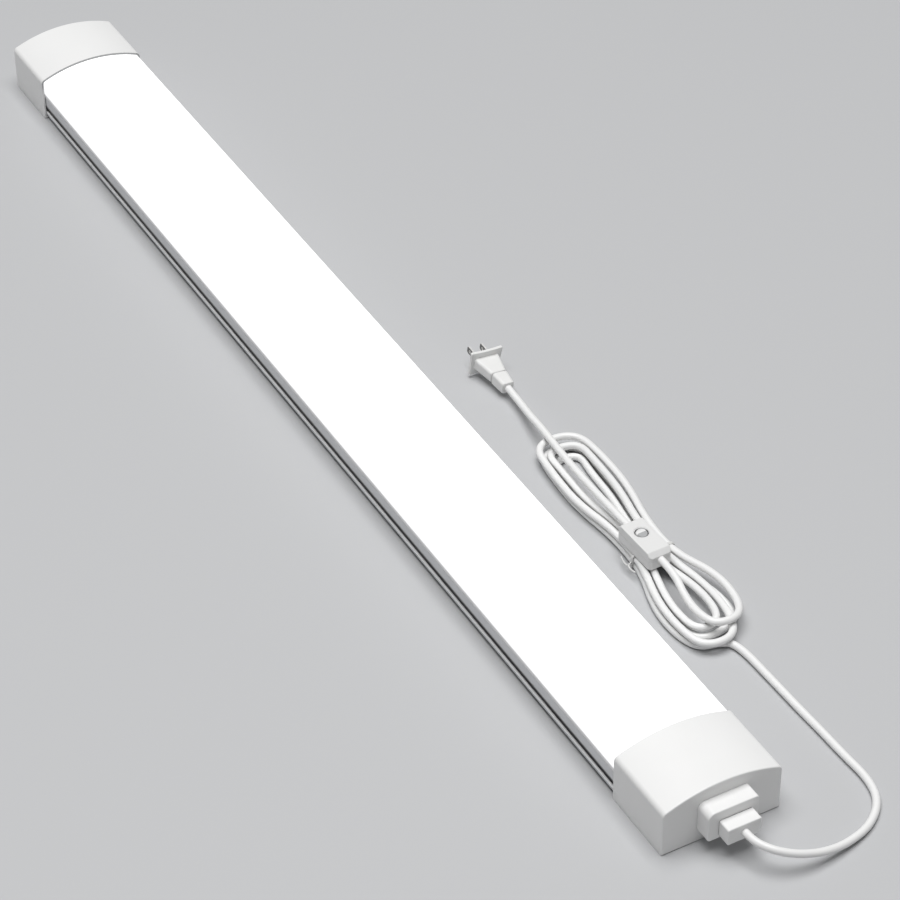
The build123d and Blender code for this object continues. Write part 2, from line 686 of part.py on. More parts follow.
def supply_wires():
    """Mains wires from the tails of the inlet pins down to the driver's input terminal."""
    face_x = input_terminal_face()
    low = DRIVER_TOP + INPUT_TERMINAL[2] / 2
    step = (PIN_TAIL_X - face_x) / 3
    radius = step / 2
    wires = []
    for y in pin_places():
        points = [
            (PIN_TAIL_X, y, CONNECTOR_Z),
            (PIN_TAIL_X - step, y, CONNECTOR_Z),
            (face_x + step, y, low),
            (face_x, y, low),
        ]
        wires.append(tube(FilletPolyline(*points, radius=radius), WIRE_RADIUS))
    return Compound(children=wires)


def led_wires():
    """A plus and a minus wire from the driver to the end of each LED board."""
    z = LED_BOARD_TOP + WIRE_RADIUS + SOLDER_GAP
    wires = []
    for side in (-1, 1):
        for offset in (-LED_WIRE_PITCH / 2, LED_WIRE_PITCH / 2):
            y = side * LED_BOARD_OFFSET + offset
            end = LED_BOARD_END_X - LED_WIRE_OVERLAP
            wires.append(rod_x(WIRE_RADIUS, end, output_terminal_face(), y, z))
    return Compound(children=wires)


# Inlet on the cord end cap

def inlet_socket():
    """Moulded socket that snaps through the end wall, with a pocket for the connector's nose."""
    middle_z = INLET_BOTTOM + INLET_HEIGHT / 2
    outline = keyed_outline(
        INLET_WIDTH, INLET_HEIGHT, 0, middle_z, (-1, 1), INLET_BIG_RADIUS, INLET_SMALL_RADIUS
    )
    socket = run_x(outline, CORD_END_X, SOCKET_FACE_X)
    socket = fillet(socket.faces().sort_by(Axis.X)[-1].edges(), INLET_EDGE_RADIUS)
    socket += run_x(Pos(CONNECTOR_Y, CONNECTOR_Z) * Rectangle(NECK_WIDTH, NECK_HEIGHT), NECK_X, CORD_END_X)
    catch_x = END_WALL_X - NECK_CLEARANCE
    for side in (-1, 1):
        flank = CONNECTOR_Y + side * NECK_WIDTH / 2
        barb = make_face(
            Polyline((NECK_X, flank), (catch_x, flank), (catch_x, flank + side * LATCH_REACH), close=True)
        )
        socket += Pos(0, 0, CONNECTOR_Z) * extrude(barb, amount=LATCH_HEIGHT / 2, both=True)
    pocket = Pos(CONNECTOR_Y, CONNECTOR_Z) * Rectangle(CAVITY_WIDTH, CAVITY_HEIGHT)
    socket -= run_x(pocket, CAVITY_X, SOCKET_FACE_X)
    for y in pin_places():
        socket -= rod_x(PIN_RADIUS + PIN_FIT, NECK_X, CAVITY_X, y, CONNECTOR_Z)
    return socket


def inlet_gasket():
    face = Rectangle(GASKET_WIDTH, GASKET_HEIGHT)
    face -= Rectangle(NECK_WIDTH + 2 * NECK_CLEARANCE, NECK_HEIGHT + 2 * NECK_CLEARANCE)
    return run_x(Pos(CONNECTOR_Y, CONNECTOR_Z) * face, CORD_END_X - GASKET_THICKNESS, CORD_END_X)


def inlet_pins():
    """Round pins with domed tips that stand in the pocket."""
    pins = []
    for y in pin_places():
        pin = rod_x(PIN_RADIUS, PIN_TAIL_X, CAVITY_X + PIN_REACH, y, CONNECTOR_Z)
        pins.append(fillet(pin.edges().sort_by(Axis.X)[-1], PIN_RADIUS / 2))
    return Compound(children=pins)


# Cord set

def cord_connector():
    """Moulded grip with a nose that fills the socket's pocket."""
    outline = keyed_outline(
        GRIP_WIDTH, GRIP_HEIGHT, CONNECTOR_Y, CONNECTOR_Z, (1, -1), GRIP_BIG_RADIUS, GRIP_SMALL_RADIUS
    )
    grip = run_x(outline, GRIP_X, GRIP_END_X)
    grip = fillet(grip.faces().sort_by(Axis.X)[-1].edges(), GRIP_EDGE_RADIUS)
    grip += run_x(Pos(CONNECTOR_Y, CONNECTOR_Z) * Rectangle(NOSE_WIDTH, NOSE_HEIGHT), NOSE_TIP_X, GRIP_X)
    bore_end = NOSE_TIP_X + CONTACT_SETBACK + SLEEVE_LENGTH
    for y in pin_places():
        grip -= rod_x(SLEEVE_OUTER_RADIUS + CONTACT_FIT, NOSE_TIP_X, bore_end, y, CONNECTOR_Z)
    return grip


def connector_contacts():
    """Brass sleeves in the nose that slide over the inlet pins."""
    start = NOSE_TIP_X + CONTACT_SETBACK
    face = Circle(SLEEVE_OUTER_RADIUS) - Circle(SLEEVE_INNER_RADIUS)
    sleeves = [
        run_x(Pos(y, CONNECTOR_Z) * face, start, start + SLEEVE_LENGTH) for y in pin_places()
    ]
    return Compound(children=sleeves)


def cord_radii(points):
    """The largest arc that each corner's two runs leave room for."""
    radii = []
    for before, corner, after in zip(points, points[1:], points[2:]):
        arriving = Vector(corner) - Vector(before)
        leaving = Vector(after) - Vector(corner)
        half_turn = radians(arriving.get_angle(leaving)) / 2
        radii.append(ARC_SHARE * min(arriving.length, leaving.length) / tan(half_turn))
    return radii


def free_cord(name, points):
    """A stretch of cord along straight runs joined by tangent arcs."""
    radii = cord_radii(points)
    path = FilletPolyline(*points, radius=radii)
    solid = tube(path, CORD_RADIUS)
    section = Circle(CORD_RADIUS).area
    print(name, "radii", [round(radius) for radius in radii], "length", round(path.length, 1))
    print(name, "volume over section times length", round(solid.volume / (section * path.length), 5))
    return solid


def hank_point(u, v, z):
    """A point along the hank, across it and above the surface, in the lamp's frame."""
    return (HANK_FRAME * Pos(u, v, z)).position


def hank_direction(heading):
    angle = radians(heading + HANK_TILT)
    return Vector(cos(angle), sin(angle), 0)


def hank_station(eighths):
    """Where the cord is after so many eighths of a turn, and which way it heads there."""
    turns = eighths / 8
    lane = INNER_LANE + abs(turns - HANK_REVERSAL)
    layer = min(max((turns - HANK_REVERSAL) / HANK_CLIMB + 0.5, 0), 1)
    near_side = NEAR_SIDE_HALF + lane * NEAR_SIDE_STEP
    near_end = NEAR_END + lane * NEAR_END_STEP - layer * NEAR_END_SETBACK
    far_side = FAR_SIDE_HALF + lane * FAR_SIDE_STEP
    far_end = FAR_END + lane * FAR_END_STEP
    waist = lane * WAIST_STEP
    lower = 1 - layer
    bulge_u, bulge_v = LOWER_BULGE
    u, v, lift, heading = [
        (NEAR_SIDE_U, NEAR_SHIFT - near_side, 0, 180),
        (0, -waist, TIE_LIFT, 180),
        (-FAR_SIDE_U, -far_side, 0, 180),
        (-far_end, 0, 0, 90),
        (-FAR_SIDE_U, far_side, 0, 0),
        (0, waist, TIE_LIFT, 0),
        (NEAR_SIDE_U + lower * bulge_u, NEAR_SHIFT + near_side + lower * bulge_v, 0, 0),
        (near_end, NEAR_END_V, 0, 270),
    ][eighths % 8]
    return hank_point(u, v, CORD_RADIUS + layer * LAYER_STEP + lift), hank_direction(heading)


def biarc(start, leaving, end, arriving):
    """Two tangent arcs that leave one point and arrive at another along given directions."""
    chord = end - start
    both = leaving + arriving
    along = chord.dot(both)
    bend = 2 * (1 - leaving.dot(arriving))
    if bend < 1e-9:
        reach = chord.dot(chord) / (2 * along)
    else:
        reach = (sqrt(along**2 + bend * chord.dot(chord)) - along) / bend
    first = start + leaving * reach
    second = end - arriving * reach
    middle = (first + second) / 2
    return [TangentArc(start, middle, tangent=leaving), TangentArc(middle, end, tangent=second - first)]


def switch_end(side):
    """Middle of one end of the switch, where the cord goes in."""
    return (SWITCH_FRAME * Pos(side * SWITCH_LENGTH / 2, 0, SWITCH_HEIGHT / 2)).position


def hank_entry():
    return hank_point(HANK_ENTRY_U, HANK_ENTRY_V, CORD_RADIUS)


def hank_path():
    """From the lamp's run, in and out again in two layers, then over the top into the switch."""
    inward = hank_direction(HANK_ENTRY_HEADING)
    start = hank_entry() + inward * CORD_DIAMETER
    bend_u, bend_v, bend_heading = ENTRY_BEND
    stations = [(start, inward), (hank_point(bend_u, bend_v, CORD_RADIUS), hank_direction(bend_heading))]
    stations += [hank_station(eighths) for eighths in range(HANK_EIGHTHS + 1)]
    switch_angle = radians(SWITCH_HEADING)
    into_switch = Vector(-cos(switch_angle), -sin(switch_angle), 0)
    finish = switch_end(1)
    before = finish - into_switch * CORD_DIAMETER
    stations.append((hank_point(*TOP_LOOP_OUT), hank_direction(0)))
    stations.append((hank_point(*TOP_LOOP_END), hank_direction(270)))
    stations.append((hank_point(*TOP_LOOP_BACK), hank_direction(180)))
    stations.append((before, into_switch))
    edges = [Line(hank_entry(), start)]
    for (start_point, leaving), (end_point, arriving) in zip(stations, stations[1:]):
        edges.extend(biarc(start_point, leaving, end_point, arriving))
    edges.append(Line(before, finish))
    return Wire(edges)


def least_gap(path):
    """The smallest gap between turns, measured between points along the centreline."""
    count = int(path.length / GAP_SAMPLE)
    points = np.array([tuple(path.position_at(i / count)) for i in range(count + 1)])
    skip = int(GAP_NEAR / GAP_SAMPLE)
    least = min(
        np.linalg.norm(points[i + skip:] - points[i], axis=1).min() for i in range(count + 1 - skip)
    )
    return least - CORD_DIAMETER


def cord_hank():
    path = hank_path()
    solid = tube(path, CORD_RADIUS)
    gap = least_gap(path)
    tightest = min(edge.radius for edge in path.edges().filter_by(GeomType.CIRCLE))
    print("cord_hank length", round(path.length, 1), "least gap", round(gap, 2), "over", LEAST_GAP)
    print("cord_hank tightest arc", round(tightest, 1))
    section = Circle(CORD_RADIUS).area
    print("cord_hank volume over section times length", round(solid.volume / (section * path.length), 5))
    return solid


def cord_lamp_run():
    """Out of the connector, down in a loop to the surface and along it to the hank."""
    entry = hank_entry()
    last = entry - hank_direction(HANK_ENTRY_HEADING) * LAMP_RUN_LAST
    leads = [(x, CONNECTOR_Y, CONNECTOR_Z) for x in (GRIP_END_X, GRIP_END_X + CONNECTOR_LEAD)]
    return free_cord("cord_lamp_run", [*leads, *LAMP_RUN_POINTS, tuple(last), tuple(entry)])


def cord_plug_run():
    """From the switch over the far lobe of the hank and down to the plug."""
    start = switch_end(-1)
    lead = (SWITCH_FRAME * Pos(-SWITCH_LENGTH / 2 - SWITCH_LEAD, 0, SWITCH_HEIGHT / 2)).position
    tail_lead = (PLUG_FRAME * Pos(PLUG_LENGTH + PLUG_LEAD, 0, 0)).position
    tail = (PLUG_FRAME * Pos(PLUG_LENGTH, 0, 0)).position
    points = [tuple(start), tuple(lead), *PLUG_RUN_POINTS, tuple(tail_lead), tuple(tail)]
    return free_cord("cord_plug_run", points)


def hank_tie():
    """Flat coated wire round the tied waist, with its two twisted ends hooked along the hank."""
    first_turn = INNER_LANE + HANK_REVERSAL - 1 / 8
    last_turn = INNER_LANE + HANK_EIGHTHS / 8 - HANK_REVERSAL
    room = CORD_RADIUS + TIE_CLEARANCE + TIE_SPREAD
    left = -first_turn * WAIST_STEP - room
    right = last_turn * WAIST_STEP + room
    width = right - left
    height = TIE_TOP - 2 * TIE_THICKNESS
    middle = ((left + right) / 2, TIE_TOP / 2)
    outer_radius = TIE_CORNER_RADIUS + TIE_THICKNESS
    band = RectangleRounded(width + 2 * TIE_THICKNESS, TIE_TOP, outer_radius)
    band -= RectangleRounded(width, height, TIE_CORNER_RADIUS)
    ring = run_x(Pos(*middle) * band, TIE_U, TIE_U + TIE_WIDTH)
    start = (TIE_U + TIE_WIDTH / 2, left - TIE_THICKNESS / 2, middle[1])
    tie = ring
    for tail in TIE_TAILS:
        points = [start]
        for along, out in tail:
            points.append((start[0] + along, start[1] - out, middle[1]))
        tie += tube(FilletPolyline(*points, radius=TIE_TAIL_BEND), TIE_TAIL_RADIUS)
    return HANK_FRAME * tie


# In-line switch

def switch_body():
    """Outer form of the switch before it is parted: sloped ends and soft top edges."""
    end = SWITCH_LENGTH / 2
    slope_x = end - SWITCH_END_SLOPE
    slope_z = SWITCH_HEIGHT - SWITCH_END_SLOPE
    side = make_face(
        Polyline(
            (-end, 0),
            (end, 0),
            (end, slope_z),
            (slope_x, SWITCH_HEIGHT),
            (-slope_x, SWITCH_HEIGHT),
            (-end, slope_z),
            close=True,
        )
    )
    body = extrude(Plane.XZ * side, amount=SWITCH_WIDTH / 2, both=True)
    body = fillet(body.edges().filter_by(Axis.Z), SWITCH_CORNER_RADIUS)
    top_edges = [edge for edge in body.edges() if edge.center().Z > slope_z - SWITCH_EDGE_RADIUS / 2]
    return fillet(top_edges, SWITCH_EDGE_RADIUS)


def switch_cavity(start, end):
    inner = SWITCH_WIDTH - 2 * SWITCH_WALL
    return block((SWITCH_CAVITY_LENGTH, inner, end - start), 0, 0, start)


def switch_screw_places():
    x, y = SWITCH_SCREW_PLACE
    return [(-x, y), (x, -y)]


def pivot_height():
    return SWITCH_HEIGHT - ROCKER_DEPTH


def switch_half(lower, upper):
    slab = block((2 * SWITCH_LENGTH, 2 * SWITCH_WIDTH, upper - lower), 0, 0, lower)
    return switch_body() & slab


def switch_base():
    parting = SWITCH_HEIGHT / 2 - SWITCH_PARTING
    base = switch_half(0, parting) - switch_cavity(SWITCH_WALL, parting)
    seat = SWITCH_SCREW_RECESS + SWITCH_SCREW_HEAD_HEIGHT
    for x, y in switch_screw_places():
        base -= post(SWITCH_SCREW_HEAD_RADIUS + SCREW_CLEARANCE, seat, x, y, 0)
        base -= post(SWITCH_SCREW_RADIUS + SCREW_CLEARANCE, parting, x, y, 0)
    return SWITCH_FRAME * base


def switch_cover():
    """Upper half with the dished opening and the bearings of the rocker."""
    parting = SWITCH_HEIGHT / 2
    cover = switch_half(parting, SWITCH_HEIGHT) - switch_cavity(parting, SWITCH_HEIGHT - SWITCH_WALL)
    opening_radius = ROCKER_RADIUS + ROCKER_GAP
    cover -= post(opening_radius, SWITCH_HEIGHT, ROCKER_OFFSET, 0, parting)
    dish = Cone(
        opening_radius,
        opening_radius + DISH_CHAMFER,
        DISH_CHAMFER,
        align=(Align.CENTER, Align.CENTER, Align.MAX),
    )
    cover -= Pos(ROCKER_OFFSET, 0, SWITCH_HEIGHT) * dish
    bearing = SWITCH_WIDTH - 2 * SWITCH_WALL + 2 * TRUNNION_REACH + 2 * ROCKER_GAP
    cover -= Pos(ROCKER_OFFSET, 0, pivot_height()) * Rot(90, 0, 0) * Cylinder(
        TRUNNION_RADIUS + TRUNNION_FIT, bearing
    )
    for x, y in switch_screw_places():
        cover -= post(SWITCH_SCREW_RADIUS + CONTACT_FIT, SWITCH_SCREW_GRIP, x, y, parting)
    return SWITCH_FRAME * cover


def switch_rocker():
    """Round rocker with a ridge across it, tipped on its trunnions to the on side."""
    drop = ROCKER_RADIUS * tan(radians(ROCKER_SLOPE))
    roof = make_face(
        Polyline(
            (-ROCKER_RADIUS, -ROCKER_BELOW),
            (ROCKER_RADIUS, -ROCKER_BELOW),
            (ROCKER_RADIUS, ROCKER_RIDGE - drop),
            (0, ROCKER_RIDGE),
            (-ROCKER_RADIUS, ROCKER_RIDGE - drop),
            close=True,
        )
    )
    rocker = Sphere(ROCKER_RADIUS) & extrude(Plane.XZ * roof, amount=ROCKER_RADIUS, both=True)
    span = SWITCH_WIDTH - 2 * SWITCH_WALL + 2 * TRUNNION_REACH
    rocker += Rot(90, 0, 0) * Cylinder(TRUNNION_RADIUS, span)
    rocker += block(ROCKER_STEM, 0, 0, -ROCKER_BELOW - ROCKER_STEM[2])
    return SWITCH_FRAME * Pos(ROCKER_OFFSET, 0, pivot_height()) * Rot(0, ROCKER_REST_TILT, 0) * rocker


def switch_contacts():
    """Two brass terminals on the floor of the base, each with an upright post."""
    terminals = []
    for side in (-1, 1):
        x = ROCKER_OFFSET + side * CONTACT_SPREAD
        plate = block(CONTACT_PLATE, x, 0, SWITCH_WALL)
        upright = block(CONTACT_POST, x - side * CONTACT_PLATE[0] / 4, 0, SWITCH_WALL)
        terminals.append(plate + upright)
    return SWITCH_FRAME * Compound(children=terminals)


def switch_screws():
    """Screws driven up from the back of the base into the cover."""
    seat = SWITCH_SCREW_RECESS + SWITCH_SCREW_HEAD_HEIGHT
    grip = SWITCH_HEIGHT / 2 - seat + SWITCH_SCREW_GRIP - CONTACT_SETBACK
    one = Rot(180, 0, 0) * screw(
        SWITCH_SCREW_RADIUS, grip, SWITCH_SCREW_HEAD_RADIUS, SWITCH_SCREW_HEAD_HEIGHT
    )
    return SWITCH_FRAME * Compound(children=[Pos(x, y, seat) * one for x, y in switch_screw_places()])


# Mains plug

def plug_taper(start, length, start_size, finish_size):
    faces = []
    for x, size in ((start, start_size), (start + length, finish_size)):
        faces.append(Plane.YZ.offset(x) * RectangleRounded(*size, PLUG_CORNER_RADIUS))
    return loft(faces)


def plug_flange_outline():
    """Face plate whose four edges are drawn in a little between the corners."""
    w = FLANGE_WIDTH / 2
    h = FLANGE_HEIGHT / 2
    edges = [
        ThreePointArc((-w, -h), (0, FLANGE_HOLLOW - h), (w, -h)),
        ThreePointArc((w, -h), (w - FLANGE_HOLLOW, 0), (w, h)),
        ThreePointArc((w, h), (0, h - FLANGE_HOLLOW), (-w, h)),
        ThreePointArc((-w, h), (FLANGE_HOLLOW - w, 0), (-w, -h)),
    ]
    face = make_face(edges)
    return fillet(face.vertices(), FLANGE_CORNER_RADIUS)


def blade_outline():
    """Side view of a blade, from its root in the body to its chamfered tip."""
    face = Pos((BLADE_ROOT - BLADE_REACH) / 2, 0) * Rectangle(BLADE_ROOT + BLADE_REACH, BLADE_WIDTH)
    face = chamfer(face.vertices().sort_by(Axis.X)[:2], BLADE_TIP_CHAMFER)
    return face - Pos(BLADE_HOLE_SETBACK - BLADE_REACH, 0) * Circle(BLADE_HOLE_RADIUS)


def plug_blades():
    one = extrude(Plane.XZ * blade_outline(), amount=BLADE_THICKNESS / 2, both=True)
    half = BLADE_SPACING / 2
    return PLUG_FRAME * Compound(children=[Pos(0, -half, 0) * one, Pos(0, half, 0) * one])


def plug_body():
    """Moulded plug: hollow-edged flange, tapered body, groove and tapered cord neck."""
    body = run_x(plug_flange_outline(), 0, FLANGE_PLATE)
    body += plug_taper(FLANGE_PLATE, BODY_LENGTH, BODY_START, BODY_FINISH)
    groove = FLANGE_PLATE + BODY_LENGTH
    body += plug_taper(groove, GROOVE_BAND, GROOVE_BAND_SIZE, GROOVE_BAND_SIZE)
    body += plug_taper(groove + GROOVE_BAND, NECK_LENGTH, NECK_START, NECK_FINISH)
    slot = (BLADE_ROOT + BLADE_FIT, BLADE_THICKNESS + 2 * BLADE_FIT, BLADE_WIDTH + 2 * BLADE_FIT)
    for side in (-1, 1):
        hole = Box(*slot, align=(Align.MIN, Align.CENTER, Align.CENTER))
        body -= Pos(0, side * BLADE_SPACING / 2, 0) * hole
    return PLUG_FRAME * body


PIECES = {
    "base_extrusion": base_extrusion(),
    "diffuser": diffuser(),
    "end_cap_cord": end_cap_cord(),
    "end_cap_blank": mirror(cap_shell(), MIDDLE),
    "end_cap_screws": end_cap_screws(),
    "end_seal_cord": end_seal(),
    "end_seal_blank": mirror(end_seal(), MIDDLE),
    "led_tray": led_tray(),
    "led_board_left": led_board(-1),
    "led_board_right": led_board(1),
    "led_chips": led_chips(),
    "led_board_screws": led_board_screws(),
    "driver_board": driver_board(),
    "driver_transformer": driver_transformer(),
    "driver_capacitors": driver_capacitors(),
    "driver_choke": driver_choke(),
    "driver_terminals": driver_terminals(),
    "driver_screws": driver_screws(),
    "supply_wires": supply_wires(),
    "led_wires": led_wires(),
    "inlet_socket": inlet_socket(),
    "inlet_gasket": inlet_gasket(),
    "inlet_pins": inlet_pins(),
    "cord_connector": cord_connector(),
    "connector_contacts": connector_contacts(),
    "cord_lamp_run": cord_lamp_run(),
    "cord_hank": cord_hank(),
    "hank_tie": hank_tie(),
    "switch_base": switch_base(),
    "switch_cover": switch_cover(),
    "switch_rocker": switch_rocker(),
    "switch_contacts": switch_contacts(),
    "switch_screws": switch_screws(),
    "cord_plug_run": cord_plug_run(),
    "plug_body": plug_body(),
    "plug_blades": plug_blades(),
}

os.makedirs("parts", exist_ok=True)
for name, piece in PIECES.items():
    export_step(piece, os.path.join("parts", name + ".step"))
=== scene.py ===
from math import cos, pi, radians, sin, sqrt

import bmesh
import bpy
from mathutils import Matrix, Quaternion, Vector


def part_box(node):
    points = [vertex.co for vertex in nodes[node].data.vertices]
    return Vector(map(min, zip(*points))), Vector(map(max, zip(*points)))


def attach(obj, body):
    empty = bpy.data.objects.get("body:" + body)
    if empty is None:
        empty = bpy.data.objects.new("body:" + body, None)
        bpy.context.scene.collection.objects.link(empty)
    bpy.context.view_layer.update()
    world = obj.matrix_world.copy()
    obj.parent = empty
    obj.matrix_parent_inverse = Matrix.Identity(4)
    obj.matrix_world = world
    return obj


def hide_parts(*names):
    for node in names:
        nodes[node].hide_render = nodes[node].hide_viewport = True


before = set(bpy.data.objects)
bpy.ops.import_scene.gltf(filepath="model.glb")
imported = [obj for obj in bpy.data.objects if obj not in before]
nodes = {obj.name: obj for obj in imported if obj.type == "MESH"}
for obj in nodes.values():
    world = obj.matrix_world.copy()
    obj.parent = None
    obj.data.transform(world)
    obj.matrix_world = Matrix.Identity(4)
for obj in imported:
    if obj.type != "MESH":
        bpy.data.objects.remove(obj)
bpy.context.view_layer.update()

# The view: a long lens looks down along the lamp from the cord end, as the photograph does.
# The angles go round the lamp from its side, up from the horizon, and about the line of sight.
CAMERA_PLACE = Vector((1.95496, -0.97543, 1.72272))
CAMERA_AZIMUTH = radians(61.2032)
CAMERA_ELEVATION = radians(39.1807)
CAMERA_ROLL = radians(-0.4524)
CAMERA_SENSOR = 36.0
CAMERA_LENS = 128.316

camera_data = bpy.data.cameras.new("camera")
camera_data.sensor_width = CAMERA_SENSOR
camera_data.lens = CAMERA_LENS
camera = bpy.data.objects.new("camera", camera_data)
bpy.context.scene.collection.objects.link(camera)
bpy.context.scene.camera = camera
sight = Vector((
    -sin(CAMERA_AZIMUTH) * cos(CAMERA_ELEVATION),
    cos(CAMERA_AZIMUTH) * cos(CAMERA_ELEVATION),
    -sin(CAMERA_ELEVATION),
))
camera.location = CAMERA_PLACE
camera.rotation_mode = "QUATERNION"
camera.rotation_quaternion = sight.to_track_quat("-Z", "Y") @ Quaternion((0, 0, 1), CAMERA_ROLL)
bpy.context.scene.view_settings.view_transform = "Standard"


# The studio: a plain pale grey floor, one large soft lamp overhead, and an even white surround.
# The lamp hangs straight over the object: its crown is bright, its upright faces are evenly shaded.
FLOOR_RADIUS = 7.0
FLOOR_SIDES = 96
FLOOR_DROP = 0.0002
FLOOR_COLOUR = (0.50, 0.505, 0.515, 1)
FLOOR_MOTTLE = (0.53, 0.535, 0.545, 1)
FLOOR_MOTTLE_SCALE = 1.6
FLOOR_ROUGHNESS = 0.55
KEY_PLACE = Vector((0.04, -0.21, 6.0))
KEY_AIM = Vector((0.0, 0.0, 0.0))
KEY_SIZE = 4.6
KEY_POWER = 384.0
SURROUND_COLOUR = (1, 1, 1, 1)
SURROUND_STRENGTH = 0.19


def put(tree, kind, inputs=None, **settings):
    """Add a node; each input takes a plain value or the output of another node."""
    node = tree.nodes.new("ShaderNode" + kind)
    for name, value in settings.items():
        setattr(node, name, value)
    for name, value in (inputs or {}).items():
        socket = node.inputs[name]
        if isinstance(value, bpy.types.NodeSocket):
            tree.links.new(value, socket)
        else:
            socket.default_value = value
    return node


def new_material(name):
    """A material with an empty tree, and that tree."""
    material = bpy.data.materials.new(name)
    material.use_nodes = True
    material.node_tree.nodes.clear()
    return material, material.node_tree


def surface(tree, **sockets):
    """The material's own shader; underscores in a socket's name stand for spaces."""
    named = {name.replace("_", " "): value for name, value in sockets.items()}
    shader = put(tree, "BsdfPrincipled", named)
    put(tree, "OutputMaterial", {"Surface": shader.outputs["BSDF"]})


def blend_colour(tree, factor, low, high):
    """A colour between two, by a factor that changes over the surface."""
    mixed = put(tree, "Mix", {"Factor": factor, "A": low, "B": high}, data_type="RGBA")
    return mixed.outputs["Result"]


def new_piece(name, mesh_builder, material):
    """A mesh object made from a bmesh, which is freed."""
    mesh = bpy.data.meshes.new(name)
    mesh_builder.to_mesh(mesh)
    mesh_builder.free()
    mesh.materials.append(material)
    piece = bpy.data.objects.new(name, mesh)
    bpy.context.scene.collection.objects.link(piece)
    return piece


floor_material, tree = new_material("studio_floor")
mottle = put(tree, "TexNoise", {"Scale": FLOOR_MOTTLE_SCALE}).outputs["Fac"]
floor_tone = blend_colour(tree, mottle, FLOOR_COLOUR, FLOOR_MOTTLE)
surface(tree, Base_Color=floor_tone, Roughness=FLOOR_ROUGHNESS)
floor_mesh = bmesh.new()
bmesh.ops.create_circle(floor_mesh, cap_ends=True, radius=FLOOR_RADIUS, segments=FLOOR_SIDES)
floor = new_piece("studio_floor", floor_mesh, floor_material)
floor.location.z = -FLOOR_DROP

key_data = bpy.data.lights.new("key_light", "AREA")
key_data.size = KEY_SIZE
key_data.energy = KEY_POWER
key_light = bpy.data.objects.new("key_light", key_data)
key_light.location = KEY_PLACE
key_light.rotation_mode = "QUATERNION"
key_light.rotation_quaternion = (KEY_AIM - KEY_PLACE).to_track_quat("-Z", "Y")
bpy.context.scene.collection.objects.link(key_light)
surround = bpy.data.worlds.new("surround")
surround.use_nodes = True
background = surround.node_tree.nodes["Background"]
background.inputs["Color"].default_value = SURROUND_COLOUR
background.inputs["Strength"].default_value = SURROUND_STRENGTH
bpy.context.scene.world = surround


# The channel: one aluminium extrusion, satin anodised, with a clip groove along each side.
# Fine lines from the die run along it. The groove's lower lip has a painted highlight on its edge,
# while its inside and the edge over it are painted dark, a painted shade.
CHANNEL_COLOUR = (0.60, 0.605, 0.615, 1)
CHANNEL_STREAK = (0.70, 0.705, 0.715, 1)
CHANNEL_CREASE_SHADE = (0.10, 0.10, 0.105, 1)
CHANNEL_CREASE_REACH = 0.006
CHANNEL_LINES = 1400.0
CHANNEL_RELIEF = 0.00006
CHANNEL_ROUGHNESS = (0.30, 0.46)
CREASE_SAMPLES = 8
CREASE_START = 0.25
CREASE_FULL = 0.95
DIE_STRETCH = 0.004
DIE_DETAIL = 3.0
GROOVE_LOW = 0.0080
GROOVE_TOP = 0.0120
GROOVE_SHADE = 0.0027
GROOVE_SHADE_FADE = 0.0011
GROOVE_BEAD = 0.0016
GROOVE_EDGE = 0.0002
# Painted shade for the groove, and a painted highlight for the outer edge of its lower lip.
GROOVE_SHADE_COLOUR = (0.025, 0.025, 0.027, 1)
BEAD_HIGHLIGHT_COLOUR = (0.95, 0.955, 0.96, 1)
BEAD_METALLIC = 0.05


def shader_group(name, inputs, outputs):
    """A node group with named sockets: the group, its inputs to read and its outputs to fill."""
    group = bpy.data.node_groups.new(name, "ShaderNodeTree")
    for label, (kind, value) in inputs.items():
        socket = group.interface.new_socket(label, in_out="INPUT", socket_type="NodeSocket" + kind)
        socket.default_value = value
    for label, kind in outputs.items():
        group.interface.new_socket(label, in_out="OUTPUT", socket_type="NodeSocket" + kind)
    return group, group.nodes.new("NodeGroupInput").outputs, group.nodes.new("NodeGroupOutput").inputs


def spread(tree, value, low, high):
    """A value from 0 to 1 taken to another range."""
    ranged = put(tree, "MapRange", {"Value": value, "To Min": low, "To Max": high})
    return ranged.outputs["Result"]


def relief(tree, height, depth):
    """A normal from a height of 0 to 1, with its depth in metres."""
    return put(tree, "Bump", {"Height": height, "Distance": depth}).outputs["Normal"]


def above(tree, value, level, softness):
    """A mask that goes from 0 to 1 where a value passes a level."""
    edge = {"From Min": level - softness, "From Max": level + softness}
    return put(tree, "MapRange", {"Value": value, **edge}).outputs["Result"]


def between(tree, value, low, high, softness, high_softness=None):
    """A mask that is 1 where a value lies between two levels; the upper edge may be softer."""
    past_low = above(tree, value, low, softness)
    past_high = above(tree, value, high, high_softness or softness)
    return put(tree, "Math", {0: past_low, 1: past_high}, operation="SUBTRACT").outputs[0]


def both(tree, first, second):
    """A mask where two masks hold."""
    return put(tree, "Math", {0: first, 1: second}, operation="MULTIPLY").outputs[0]


def place_on(tree, axis):
    """Where a point of the piece is along one axis of the lamp."""
    place = put(tree, "SeparateXYZ", {"Vector": put(tree, "TexCoord").outputs["Object"]})
    return place.outputs[axis]


def size_of(tree, value):
    """A value without its sign."""
    return put(tree, "Math", {0: value}, operation="ABSOLUTE").outputs[0]


def dress(material, *names):
    """Give CAD nodes their finish."""
    for name in names:
        for slot in nodes[name].material_slots:
            slot.material = material


die_lines, given, result = shader_group(
    "die_lines", {"Lines": ("Float", CHANNEL_LINES)}, {"Streak": "Float"}
)
along = put(die_lines, "TexCoord").outputs["Object"]
drawn = put(die_lines, "VectorMath", {0: along, 1: (DIE_STRETCH, 1, 1)}, operation="MULTIPLY")
streak = put(
    die_lines,
    "TexNoise",
    {"Vector": drawn.outputs[0], "Scale": given["Lines"], "Detail": DIE_DETAIL},
)
die_lines.links.new(streak.outputs["Fac"], result["Streak"])
